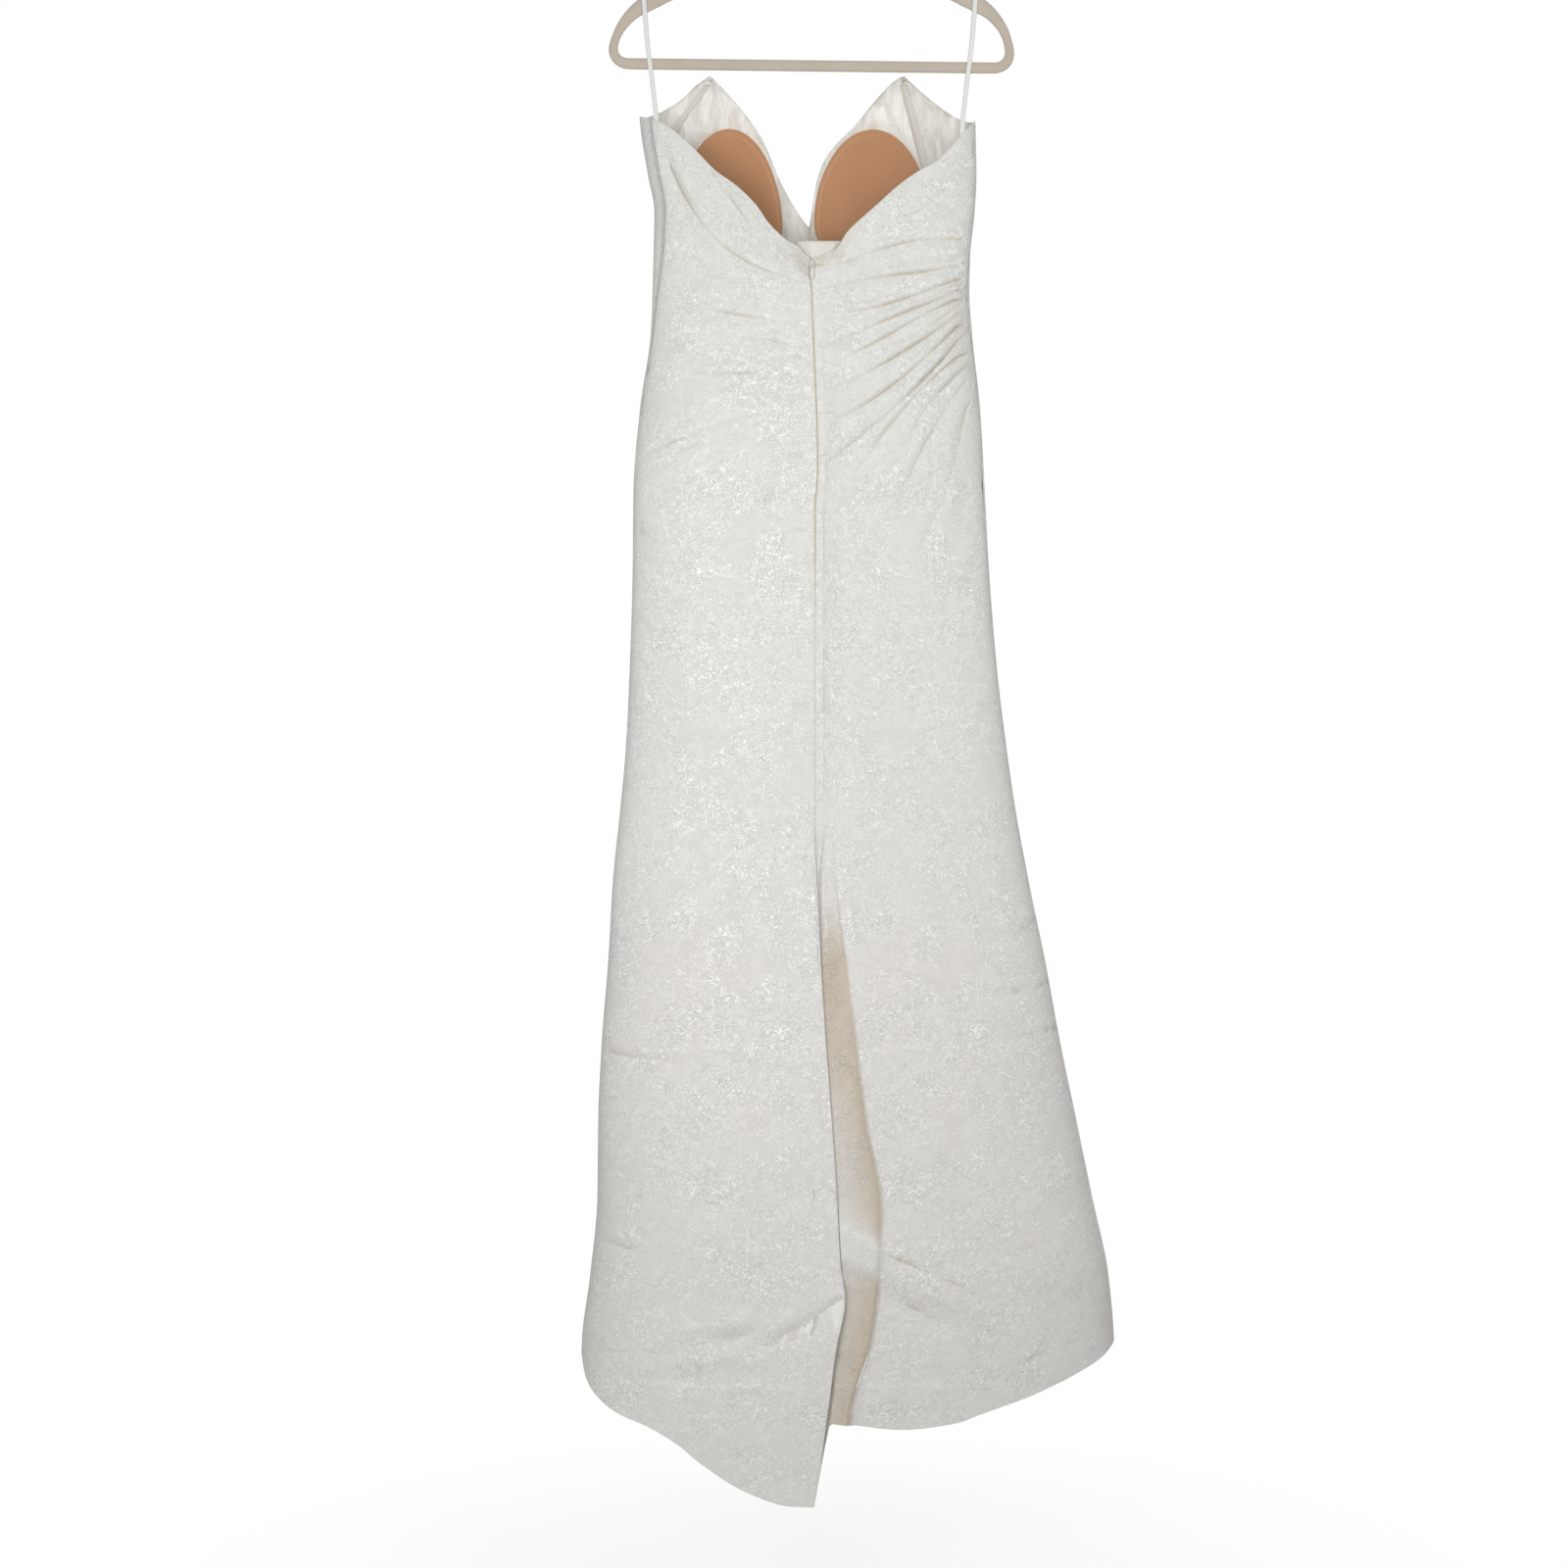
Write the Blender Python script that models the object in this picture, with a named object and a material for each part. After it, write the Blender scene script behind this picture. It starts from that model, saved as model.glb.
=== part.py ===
"""Strapless trumpet dress that hangs by two ribbon loops from a flocked hanger.

X runs to the photo's right, the back of the dress faces -Y and Z is up.
The origin is the inner top of the hook. Tables are in millimetres, and a
"drop" is a distance below the underarm line.
"""
import math

import bpy
import numpy as np

MM = 0.001
UNDERARM_Z = -265.0
SIDE_Y = 8.0
SQUARENESS = 2.4
WALL = 2.0
GAP = 0.3
FOLD_ANGLE = math.radians(174)
FOLD_EXIT = 4.0
NO_PUSH = 0.0

for old_object in list(bpy.data.objects):
    bpy.data.objects.remove(old_object, do_unlink=True)


def table(columns, rows):
    """Rows of numbers as one array for each named column."""
    values = np.array(rows, dtype=float)
    return {name: values[:, place] for place, name in enumerate(columns.split())}


def read(source, column, at, along="drop"):
    """Value of a column, straight between the table's rows."""
    return np.interp(at, source[along], source[column])


# Half outline of the body at each drop, and how deep its back and front stand
BODY = table(
    "drop left right back_left back_right front",
    [
        (-80, -194, 184, -26, -26, 62),
        (0, -190, 182, -28, -28, 66),
        (60, -181, 183, -30, -30, 70),
        (100, -174, 181, -31, -31, 68),
        (150, -175, 176, -32, -32, 60),
        (190, -176, 175, -34, -34, 54),
        (235, -178, 178, -35, -35, 50),
        (320, -190, 187, -36, -36, 50),
        (408, -197, 192, -36, -36, 54),
        (500, -198, 197, -37, -37, 56),
        (600, -201, 205, -38, -38, 57),
        (700, -206, 217, -40, -40, 58),
        (755, -211, 225, -42, -42, 59),
        (843, -220, 241, -48, -46, 61),
        (930, -225, 259, -55, -51, 63),
        (1017, -232, 275, -63, -57, 66),
        (1104, -236, 293, -71, -63, 69),
        (1191, -237, 311, -78, -69, 73),
        (1278, -245, 329, -84, -74, 77),
        (1349, -254, 335, -86, -76, 79),
        (1520, -258, 338, -90, -76, 84),
    ],
)

# Centre-back fold: where its walk starts, how it turns and laps, where the right panel levels out
FOLD = table(
    "drop start valley turn lap turned",
    [
        (0, -9, 30, 5, 4, 0),
        (160, -8, 30, 5, 4, 0),
        (240, -5, 30, 5, 4, 0),
        (390, 0, 35, 5, 4, 0),
        (434, -3, 35, 5, 4, 0),
        (765, -3, 30, 5, 4, 0),
        (828, 3, 26, 6, 4, 0.5),
        (870, 6, 30, 8, 6, 0.8),
        (930, 9, 38, 10, 12, 0.95),
        (1010, 14, 48, 11, 26, 1),
        (1091, 20, 58, 11, 38, 1),
        (1196, 27, 76, 11, 50, 1),
        (1252, 30, 74, 11, 55, 1),
        (1292, 35, 71, 11, 58, 1),
        (1336, 26, 64, 11, 60, 1),
        (1409, 16, 42, 11, 60, 1),
        (1510, 2, 34, 11, 60, 1),
    ],
)

# Turn from each side edge back to the side seam, in degrees
SEAM = table(
    "drop left right",
    [(-10, 24, 10), (130, 24, 10), (230, 12, 8), (330, 4, 4), (1400, 2, 2)],
)

BACK_NECK = table(
    "x drop",
    [
        (-192, -5), (-164, 7), (-129, 37), (-106, 61), (-82, 79), (-61, 100), (-47, 120),
        (-27, 139), (-13, 147), (-5, 158), (4, 161), (28, 147), (38, 131), (54, 115),
        (71, 100), (95, 78), (117, 62), (137, 50), (154, 33), (170, 14), (184, 0),
    ],
)
FRONT_NECK = table(
    "x drop",
    [
        (-192, -5), (-160, -24), (-142, -38), (-131, -50), (-114, -62), (-96, -46),
        (-67, -13), (-53, 8), (-32, 57), (-14, 89), (0, 106), (5, 64), (11, 38), (24, 16),
        (50, -10), (72, -36), (92, -56), (104, -62), (131, -38), (152, -20), (170, -7), (184, 0),
    ],
)
BACK_HEM = table(
    "x drop",
    [
        (-256, 1360), (-250, 1382), (-238, 1400), (-210, 1418), (-183, 1427), (-146, 1446),
        (-120, 1466), (-66, 1497), (-25, 1509), (5, 1510), (20, 1423), (97, 1430), (154, 1424),
        (184, 1414), (242, 1395), (286, 1377), (320, 1360), (336, 1347),
    ],
)

# Creases on each panel: both ends, sag below the straight line, half width, depth
CREASE_COLUMNS = "x0 drop0 x1 drop1 sag width depth"
LEFT_CREASES = table(
    CREASE_COLUMNS,
    [
        (-160, 43, 2, 187, 33, 8, 3.2),
        (-111, 59, -58, 129, 3, 7, 2.0),
        (-130, 208, 4, 236, 2, 7, 2.4),
        (-80, 245, 0, 257, 0, 6, 1.4),
        (-138, 283, 6, 289, 0, 7, 2.0),
        (-190, 376, 6, 319, -11, 8, 2.6),
        (-164, 377, -106, 349, 3, 7, 1.6),
        (-136, 402, -82, 383, 0, 7, 1.4),
        (-62, 427, 4, 398, 3, 8, 1.8),
        (-122, 477, -40, 456, 2, 9, 1.6),
        (-192, 455, -165, 471, 0, 8, 1.6),
        (40, 1307, -66, 1361, 3, 8, 2.4),
        (2, 1317, -168, 1350, -5, 9, 2.2),
        (-66, 1358, -200, 1385, -4, 8, 2.2),
        (-52, 1388, -90, 1393, 0, 7, 1.4),
        (-128, 1378, -150, 1452, 0, 12, 2.2),
    ],
)
RIGHT_CREASES = table(
    CREASE_COLUMNS,
    [
        (172, 132, 26, 165, -6, 5, 2.0),
        (171, 162, 2, 194, 0, 5, 2.6),
        (170, 173, 14, 220, 9, 5, 2.6),
        (170, 185, 0, 260, 3, 5, 3.0),
        (170, 196, 10, 282, 0, 5, 2.6),
        (170, 208, 2, 308, 11, 5.5, 3.0),
        (171, 222, 2, 352, 9, 6, 3.0),
        (172, 234, 2, 393, 9, 6, 3.0),
        (176, 256, 44, 410, -14, 6.5, 2.8),
        (178, 268, 100, 370, -8, 6, 2.2),
        (172, 286, 70, 478, -6, 8, 2.4),
        (176, 308, 102, 520, 6, 9, 2.0),
        (166, 410, 142, 540, 0, 9, 1.8),
        (34, 1206, 128, 1280, 4, 10, -2.6),
        (36, 1264, 106, 1308, 3, 9, 2.4),
        (162, 1092, 138, 1192, 0, 12, 1.8),
        (162, 1092, 182, 1192, 0, 12, 1.8),
        (250, 1350, 220, 1363, 0, 7, 1.6),
    ],
)
FRONT_CREASES = table(
    CREASE_COLUMNS,
    [
        (172, 150, 40, 190, 5, 6, 2.4),
        (171, 172, 20, 236, 7, 6, 2.6),
        (172, 196, 12, 290, 8, 6, 2.8),
        (173, 220, 20, 344, 8, 7, 2.8),
        (176, 246, 36, 400, 4, 7, 2.6),
        (180, 276, 66, 452, -4, 8, 2.2),
        (-176, 180, -40, 222, 6, 8, 2.0),
        (-182, 330, -60, 300, -6, 8, 1.8),
    ],
)

# Row levels: drop at each side seam and at the back's middle, and rows from the level above
LEVELS = table(
    "left right middle rows",
    [
        (150, 162, 194, 10),
        (290, 234, 393, 13),
        (430, 310, 560, 5),
        (760, 700, 800, 4),
        (1230, 1200, 1230, 8),
    ],
)
LAST_ROWS = 5
LINING_ROWS = 14

# Steps of the fold's walk; the centre-back seam is half way along its second stretch
TURN_STEPS = 4
LAP_STEPS = 4
EXIT_STEPS = 3
SEAM_STEP = TURN_STEPS + LAP_STEPS // 2
LEFT_FACE_COLUMNS = 13
RIGHT_FACE_COLUMNS = 14

# Stops across the front: seam, left side, peak, V, peak, right side, seam, and columns to each
FRONT_STOPS = [(-114, 7), (-1, 7), (9, 1), (103, 6), (178, 5)]

CUP = table("x drop half_width up down", [(-92, 105, 60, 115, 60), (70, 100, 66, 112, 62)])
CUP_THICK = 5.0
CUP_RIM = 1.4
CUP_RINGS = 5
CUP_SPOKES = 18
BUST = table("x drop across along push", [(-90, 55, 52, 62, 17), (80, 50, 52, 62, 17)])

LINING_THICK = 1.0
LINING_TRIM = 1.5
LINING_OFF = WALL + GAP
CUP_OFF = LINING_OFF + LINING_THICK + GAP + 1.1
BONING_LEFT = table("x drop", [(-116, -52), (-156, 10), (-163, 70), (-165, 150)])
BONING_RIGHT = table("x drop", [(105, -52), (130, 36), (145, 90), (149, 150)])
BONING_OFF = LINING_OFF + LINING_THICK + GAP + 0.9
BONING_WIDE = 6.0
BONING_THICK = 1.2

ZIP_X = 0.3
ZIP_TOP = 163.0
ZIP_END = 516.0
TAPE_OFF = WALL + GAP + 0.9
TAPE_HALF = 11.0
TAPE_THICK = 0.8
COIL_RISE = 1.6
GUARD_TOP = 139.0
GUARD_END = 530.0
GUARD_LEFT = -15.0
GUARD_RIGHT = 36.0
GUARD_THICK = 1.2
SLIDER_WIDE = 5.4
SLIDER_TALL = 8.0
SLIDER_THICK = 1.8
TAB_LONG = 16.0
TAB_WIDE = 4.0
TAB_THICK = 0.8
BAIL_RADIUS = 2.2
BAIL_WIRE = 0.45
EYE_BAR = 0.5

RIBBON_WIDE = 7.0
RIBBON_THICK = 1.0
LOOP_DROP = 24.0
LOOP_TOP = -128.2

HANGER_Y = 0.0
HANGER_THICK = 5.5
HANGER_OUTER = [
    (0, -70), (-20, -71), (-60, -80), (-110, -96), (-150, -111), (-170, -120), (-176, -129),
    (-190, -131.5), (-204, -144), (-217, -161), (-224, -179), (-224, -194), (-217, -206),
    (-204, -213), (-150, -214), (-75, -214),
]
HANGER_INNER = [
    (0, -94), (-16, -95), (-54, -103), (-100, -115), (-134, -125), (-156, -134), (-166, -139),
    (-178, -145), (-193, -153), (-205, -165), (-211, -180), (-210, -189), (-206, -195),
    (-200, -198), (-150, -199), (-75, -199),
]
HOOK_WIRE = 1.9
HOOK_RADIUS = 20.0 + HOOK_WIRE
HOOK_CENTRE_Z = HOOK_WIRE - HOOK_RADIUS


# The body's form

def signed_power(value, power):
    return np.sign(value) * np.abs(value) ** power


def bust_push(x, drop):
    """How far the two cups push the front out."""
    total = np.zeros(np.broadcast(x, drop).shape)
    for i in range(2):
        across = (x - BUST["x"][i]) / BUST["across"][i]
        along = (drop - BUST["drop"][i]) / BUST["along"][i]
        total += BUST["push"][i] * np.exp(-across ** 2 - along ** 2)
    return total


def body_point(turn, drop, back):
    """Point of the section: turn 0 is the left side, 90 the back, 180 the right, 270 the front."""
    left, right = read(BODY, "left", drop), read(BODY, "right", drop)
    middle, half = (left + right) / 2, (right - left) / 2
    across = -signed_power(np.cos(turn), 2 / SQUARENESS)
    toward_back = signed_power(np.sin(turn), 2 / SQUARENESS)
    x = middle + half * across
    deep = np.where(toward_back > 0, SIDE_Y - read(BODY, back, drop), read(BODY, "front", drop) - SIDE_Y)
    y = SIDE_Y - deep * toward_back
    y = y + np.where(toward_back < 0, bust_push(x, drop) * np.minimum(1, -2 * toward_back), 0)
    return x, y


def body_normal(turn, drop, back):
    """Outward direction of the section, level."""
    x0, y0 = body_point(turn - 0.02, drop, back)
    x1, y1 = body_point(turn + 0.02, drop, back)
    length = np.hypot(x1 - x0, y1 - y0)
    return (y1 - y0) / length, -(x1 - x0) / length


def turn_at(x, drop):
    """Turn of the back section that stands at x."""
    left, right = read(BODY, "left", drop), read(BODY, "right", drop)
    across = (x - (left + right) / 2) / ((right - left) / 2)
    return np.arccos(-signed_power(np.clip(across, -1, 1), SQUARENESS / 2))


def crease_push(x, drop, creases):
    """How far the creases push the cloth: below nothing is inward."""
    total = np.zeros(np.broadcast(x, drop).shape)
    for i in range(len(creases["x0"])):
        along_x = creases["x1"][i] - creases["x0"][i]
        along_drop = creases["drop1"][i] - creases["drop0"][i]
        length = math.hypot(along_x, along_drop)
        side = math.copysign(1, along_x)
        from_x, from_drop = x - creases["x0"][i], drop - creases["drop0"][i]
        part = (from_x * along_x + from_drop * along_drop) / length ** 2
        off = (from_drop * along_x - from_x * along_drop) * side / length
        off = off - 4 * creases["sag"][i] * part * (1 - part)
        fade = np.clip(part / 0.12, 0, 1) * np.clip((1 - part) / 0.3, 0, 1)
        total -= creases["depth"][i] * fade * np.exp(-(off / creases["width"][i]) ** 2)
    return total


# The centre-back fold

def fold_walk(drop):
    """The fold's stations from its start: x, y and the cloth's direction at each."""
    turn, lap = read(FOLD, "turn", drop), read(FOLD, "lap", drop)
    most = FOLD_ANGLE * read(FOLD, "turned", drop)
    leave = FOLD_EXIT + lap * max(0.0, -math.cos(most))
    angles, steps = [], []
    for i in range(TURN_STEPS):
        angles.append(most * (i + 0.5) / TURN_STEPS)
        steps.append(turn / TURN_STEPS)
    for i in range(LAP_STEPS):
        angles.append(most)
        steps.append(lap / LAP_STEPS)
    for i in range(TURN_STEPS):
        angles.append(most * (1 - (i + 0.5) / TURN_STEPS))
        steps.append(turn / TURN_STEPS)
    for i in range(EXIT_STEPS):
        angles.append(0.0)
        steps.append(leave / EXIT_STEPS)
    angles, steps = np.array(angles), np.array(steps)
    x = np.concatenate([[0], np.cumsum(steps * np.cos(angles))])
    y = np.concatenate([[0], np.cumsum(steps * np.sin(angles))])
    bend = np.concatenate([[0], (angles[1:] + angles[:-1]) / 2, [0]])
    return x, y, bend


def fold_hem(station):
    """Hem of the hidden layers, from the left panel's tip up to the right panel."""
    return 1510 - 87 * (station / (2 * TURN_STEPS + LAP_STEPS + EXIT_STEPS)) ** 0.8


def level_rows(top, levels, hem):
    """Drops of all rows for one column, from the neck through its levels to the hem."""
    stops = [top, *levels, hem]
    counts = [int(n) for n in LEVELS["rows"]] + [LAST_ROWS]
    drops = [top]
    for upper, lower, count in zip(stops[:-1], stops[1:], counts):
        drops.extend(upper + (lower - upper) * (k + 1) / count for k in range(count))
    return np.array(drops)


# Panels: every one is a grid of points and of outward directions

def edge_drop(edge, place, back, first_look):
    """Drop of a column's neck or hem; the looks settle it, as the section changes with the drop."""
    drop = first_look
    for look in range(3):
        x = body_point(place(drop), drop, back)[0]
        drop = float(read(edge, "drop", x, along="x"))
    return drop


def face_column(side, part):
    """One column of a back panel's plain face; part 0 is at the side seam and 1 at the fold."""
    back = "back_" + side
    creases = LEFT_CREASES if side == "left" else RIGHT_CREASES

    def place(drop):
        seam = math.radians(float(read(SEAM, side, drop)))
        walk_x, walk_y, bend = fold_walk(drop)
        start = float(read(FOLD, "start", drop))
        if side == "left":
            return seam + (turn_at(start, drop) - seam) * part, 0.0, 0.0
        leave_x = start + walk_x[-1]
        seam = math.pi - seam
        turn = seam + (turn_at(leave_x, drop) - seam) * part
        start_y = body_point(turn_at(start, drop), drop, "back_left")[1]
        sunk = start_y + walk_y[-1] - body_point(turn_at(leave_x, drop), drop, back)[1]
        return turn, leave_x, sunk

    top = edge_drop(BACK_NECK, lambda drop: place(drop)[0], back, 60.0)
    hem = edge_drop(BACK_HEM, lambda drop: place(drop)[0], back, 1400.0)
    levels = LEVELS[side] + (LEVELS["middle"] - LEVELS[side]) * part
    points = []
    for drop in level_rows(top, levels, hem):
        turn, leave_x, sunk = place(drop)
        x, y = body_point(turn, drop, back)
        nx, ny = body_normal(turn, drop, back)
        if side == "right":
            valley = max(float(read(FOLD, "valley", drop)), leave_x + 12)
            level_out = np.clip(1 - (x - leave_x) / (valley - leave_x), 0, 1)
            y = y + sunk * level_out ** 2
        points.append((x, y, drop, nx, ny, float(crease_push(x, drop, creases))))
    return points


def fold_column(side, station):
    """One column of the fold's walk."""
    creases = LEFT_CREASES if side == "left" else RIGHT_CREASES
    walk_x = fold_walk(200.0)[0]
    top = float(read(BACK_NECK, "drop", read(FOLD, "start", 160.0) + walk_x[station], along="x"))
    points = []
    for drop in level_rows(top, LEVELS["middle"], fold_hem(station)):
        walk_x, walk_y, bend = fold_walk(drop)
        start = float(read(FOLD, "start", drop))
        x = start + walk_x[station]
        y = body_point(turn_at(start, drop), drop, "back_left")[1] + walk_y[station]
        flat = 1 - min(1.0, float(read(FOLD, "turned", drop)) / 0.5)
        push = flat * float(crease_push(x, drop, creases))
        points.append((x, y, drop, math.sin(bend[station]), -math.cos(bend[station]), push))
    return points


def step_in(grid, column, toward):
    """Moves one edge column of a grid by the seam's gap toward its neighbour."""
    step = grid[:, toward, :3] - grid[:, column, :3]
    length = np.maximum(np.linalg.norm(step, axis=1, keepdims=True), 0.5)
    grid[:, column, :3] += GAP * step / length


def left_back_grid():
    columns = []
    for i in range(LEFT_FACE_COLUMNS):
        columns.append(face_column("left", i / LEFT_FACE_COLUMNS))
    for station in range(SEAM_STEP + 1):
        columns.append(fold_column("left", station))
    return np.array(columns).swapaxes(0, 1)


def right_back_grid():
    columns = []
    for station in range(SEAM_STEP, 2 * TURN_STEPS + LAP_STEPS + EXIT_STEPS + 1):
        columns.append(fold_column("right", station))
    for i in range(1, RIGHT_FACE_COLUMNS + 1):
        columns.append(face_column("right", 1 - i / RIGHT_FACE_COLUMNS))
    grid = np.array(columns).swapaxes(0, 1)
    step_in(grid, 0, 1)
    return grid


def front_turns():
    """Turns of the front's columns from the left seam round to the right seam."""
    stops, counts = [0.0], []
    for x, count in FRONT_STOPS:
        stops.append(-float(turn_at(x, 0.0)))
        counts.append(count)
    stops[-1] = -math.pi
    turns = [0.0]
    for first, last, count in zip(stops[:-1], stops[1:], counts):
        turns.extend(first + (last - first) * (k + 1) / count for k in range(count))
    return turns


def front_column(turn_of, on_back):
    """One column of the front; turn_of gives its turn at a drop. Its edges lie on the back."""
    back = "back_left" if turn_of(0.0) > -math.pi / 2 else "back_right"
    part = float(np.clip(-turn_of(1300.0) / math.pi, 0, 1))
    levels = LEVELS["left"] + (LEVELS["right"] - LEVELS["left"]) * part
    top = edge_drop(BACK_NECK if on_back else FRONT_NECK, turn_of, back, 0.0)
    hem = 1361 - 14 * part + 12 * math.sin(math.pi * part)
    if on_back:
        hem = edge_drop(BACK_HEM, turn_of, back, 1350.0)
    points = []
    for drop in level_rows(top, levels, hem):
        turn = turn_of(drop)
        x, y = body_point(turn, drop, back)
        nx, ny = body_normal(turn, drop, back)
        push = 0.0 if on_back else float(crease_push(x, drop, FRONT_CREASES))
        points.append((x, y, drop, nx, ny, push))
    return points


def front_grid():
    """The front runs from the left seam, which lies on the back, round the front to the right seam."""
    columns = []
    for share in (1.0, 0.5):
        columns.append(
            front_column(lambda d, s=share: s * math.radians(float(read(SEAM, "left", d))), True)
        )
    for turn in front_turns():
        columns.append(front_column(lambda d, t=turn: t, False))
    for share in (0.5, 1.0):
        columns.append(
            front_column(lambda d, s=share: -math.pi - s * math.radians(float(read(SEAM, "right", d))), True)
        )
    grid = np.array(columns).swapaxes(0, 1)
    step_in(grid, 0, 1)
    step_in(grid, -1, -2)
    return grid


def skin(grid, inward):
    """Points of a grid's skin, moved inward from the cloth's outside."""
    x, y, drop, nx, ny, push = np.moveaxis(grid, -1, 0)
    away = push - inward
    return np.stack([x + nx * away, y + ny * away, UNDERARM_Z - drop], axis=-1)


# Meshes

def add_mesh(name, points, faces, look):
    """One object from points in millimetres, with faces that look outwards."""
    mesh = bpy.data.meshes.new(name)
    mesh.from_pydata([tuple(float(v) * MM for v in p) for p in points], [], faces)
    mesh.validate()
    piece = bpy.data.objects.new(name, mesh)
    DRESS.objects.link(piece)
    mesh.materials.append(look)
    return piece


def grid_faces(rows, columns, first, flip):
    """Three-sided faces of one skin; every skin is cut along the same diagonals."""
    faces = []
    for r in range(rows - 1):
        for c in range(columns - 1):
            a = first + r * columns + c
            below = a + columns
            for face in ((a, a + 1, below + 1), (a, below + 1, below)):
                faces.append(face[::-1] if flip else face)
    return faces


def rim_faces(rows, columns, second):
    """Faces that close the edge between an outer skin and an inner skin."""
    ring = [(0, c) for c in range(columns)]
    ring += [(r, columns - 1) for r in range(1, rows)]
    ring += [(rows - 1, c) for c in range(columns - 2, -1, -1)]
    ring += [(r, 0) for r in range(rows - 2, 0, -1)]
    ids = [r * columns + c for r, c in ring]
    return [(a, b, b + second, a + second) for a, b in zip(ids, ids[1:] + ids[:1])]


def sheet(name, outer, inner, look):
    """Closed wall between two skins; the outer one is seen with its columns running right."""
    rows, columns = outer.shape[:2]
    points = list(outer.reshape(-1, 3)) + list(inner.reshape(-1, 3))
    second = rows * columns
    faces = grid_faces(rows, columns, 0, True) + grid_faces(rows, columns, second, False)
    faces += rim_faces(rows, columns, second)
    return add_mesh(name, points, faces, look)


def tube(name, rings, look, closed=False):
    """Closed sweep through rings of points, capped unless it joins its own start."""
    rings = np.array(rings)
    count, sides = rings.shape[:2]
    faces = []
    for i in range(count if closed else count - 1):
        following = (i + 1) % count
        for k in range(sides):
            a, b = i * sides + k, i * sides + (k + 1) % sides
            faces.append((a, b, following * sides + (k + 1) % sides, following * sides + k))
    if not closed:
        faces.append(tuple(range(sides))[::-1])
        faces.append(tuple((count - 1) * sides + k for k in range(sides)))
    return add_mesh(name, rings.reshape(-1, 3), faces, look)


def wire_rings(path, radius, sides):
    """Rings round a path that stays in a plane of constant x or constant y."""
    path = np.array(path, dtype=float)
    ahead = np.gradient(path, axis=0)
    ahead /= np.linalg.norm(ahead, axis=1, keepdims=True)
    across = np.array([0.0, 1.0, 0.0]) if np.ptp(path[:, 1]) < 1e-6 else np.array([1.0, 0.0, 0.0])
    rings = []
    for point, direction in zip(path, ahead):
        up = np.cross(direction, across)
        ring = []
        for k in range(sides):
            a = 2 * math.pi * k / sides
            ring.append(point + radius * (math.cos(a) * across + math.sin(a) * up))
        rings.append(ring)
    return rings


def material(name, colour, roughness, metallic=0.0):
    look = bpy.data.materials.new(name)
    look.use_nodes = True
    shader = look.node_tree.nodes["Principled BSDF"]
    shader.inputs["Base Color"].default_value = (*colour, 1)
    shader.inputs["Roughness"].default_value = roughness
    shader.inputs["Metallic"].default_value = metallic
    return look


# Inside of the front

def add_linings(front, look):
    """The lining follows the front's own points where it shows over the low back."""
    left_end = 2 + 1 + FRONT_STOPS[0][1] + FRONT_STOPS[1][1]
    for name, first, last in (("lining_left", 3, left_end), ("lining_right", left_end, front.shape[1] - 3)):
        part = front[:LINING_ROWS, first:last].copy()
        if name == "lining_right":
            step_in(part, 0, 1)
        down = part[1, :, 2:3] - part[0, :, 2:3]
        part[0] += (part[1] - part[0]) * LINING_TRIM / down
        part = part[:, ::-1]
        outer = skin(part, LINING_OFF)
        inner = skin(part, LINING_OFF + LINING_THICK)
        sheet(name, outer, inner, look)


def inside_front(x, drop, inward):
    """Point at a distance inside the smooth front."""
    turn = -turn_at(x, drop)
    face_x, face_y = body_point(turn, drop, "back_left")
    nx, ny = body_normal(turn, drop, "back_left")
    return (float(face_x - nx * inward), float(face_y - ny * inward), UNDERARM_Z - drop)


def add_cup(name, i, look):
    """A moulded cup: rings of points laid inside the lining, thick in the middle."""
    outer, inner = [], []
    for ring in range(1, CUP_RINGS + 1):
        reach = ring / CUP_RINGS
        for k in range(CUP_SPOKES):
            a = 2 * math.pi * k / CUP_SPOKES
            half_tall = CUP["down"][i] if math.sin(a) > 0 else CUP["up"][i]
            x = CUP["x"][i] + CUP["half_width"][i] * reach * math.cos(a)
            drop = CUP["drop"][i] + half_tall * reach * math.sin(a)
            outer.append(inside_front(x, drop, CUP_OFF))
            thick = CUP_RIM + (CUP_THICK - CUP_RIM) * (1 - reach ** 3)
            inner.append(inside_front(x, drop, CUP_OFF + thick))
    centre = (CUP["x"][i], CUP["drop"][i])
    points = outer + inner + [inside_front(*centre, CUP_OFF), inside_front(*centre, CUP_OFF + CUP_THICK)]
    faces = []
    second, hub = len(outer), 2 * len(outer)
    for k in range(CUP_SPOKES):
        after = (k + 1) % CUP_SPOKES
        faces.append((hub, k, after))
        faces.append((hub + 1, second + after, second + k))
        for ring in range(CUP_RINGS - 1):
            a, b = ring * CUP_SPOKES + k, ring * CUP_SPOKES + after
            faces.append((a, a + CUP_SPOKES, b + CUP_SPOKES, b))
            faces.append((second + a, second + b, second + b + CUP_SPOKES, second + a + CUP_SPOKES))
        last = (CUP_RINGS - 1) * CUP_SPOKES
        faces.append((last + k, second + last + k, second + last + after, last + after))
    return add_mesh(name, points, faces, look)


def add_boning(name, route, look):
    """A flat channel from the peak down, laid on the lining's inside."""
    rings = []
    for drop in np.linspace(route["drop"][0], route["drop"][-1], 12):
        x = float(read(route, "x", drop))
        corners = ((-1, 0), (1, 0), (1, 1), (-1, 1))
        rings.append([
            inside_front(x + side * BONING_WIDE / 2, drop, BONING_OFF + deep * BONING_THICK)
            for side, deep in corners
        ])
    return tube(name, rings, look)


# The zip

def back_y(drop):
    """Outside of the back beside the zip, without creases."""
    start = float(read(FOLD, "start", drop))
    return float(body_point(turn_at(start, drop), drop, "back_left")[1])


def zip_line(drop):
    return float(read(FOLD, "start", drop)) + 7.0


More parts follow.
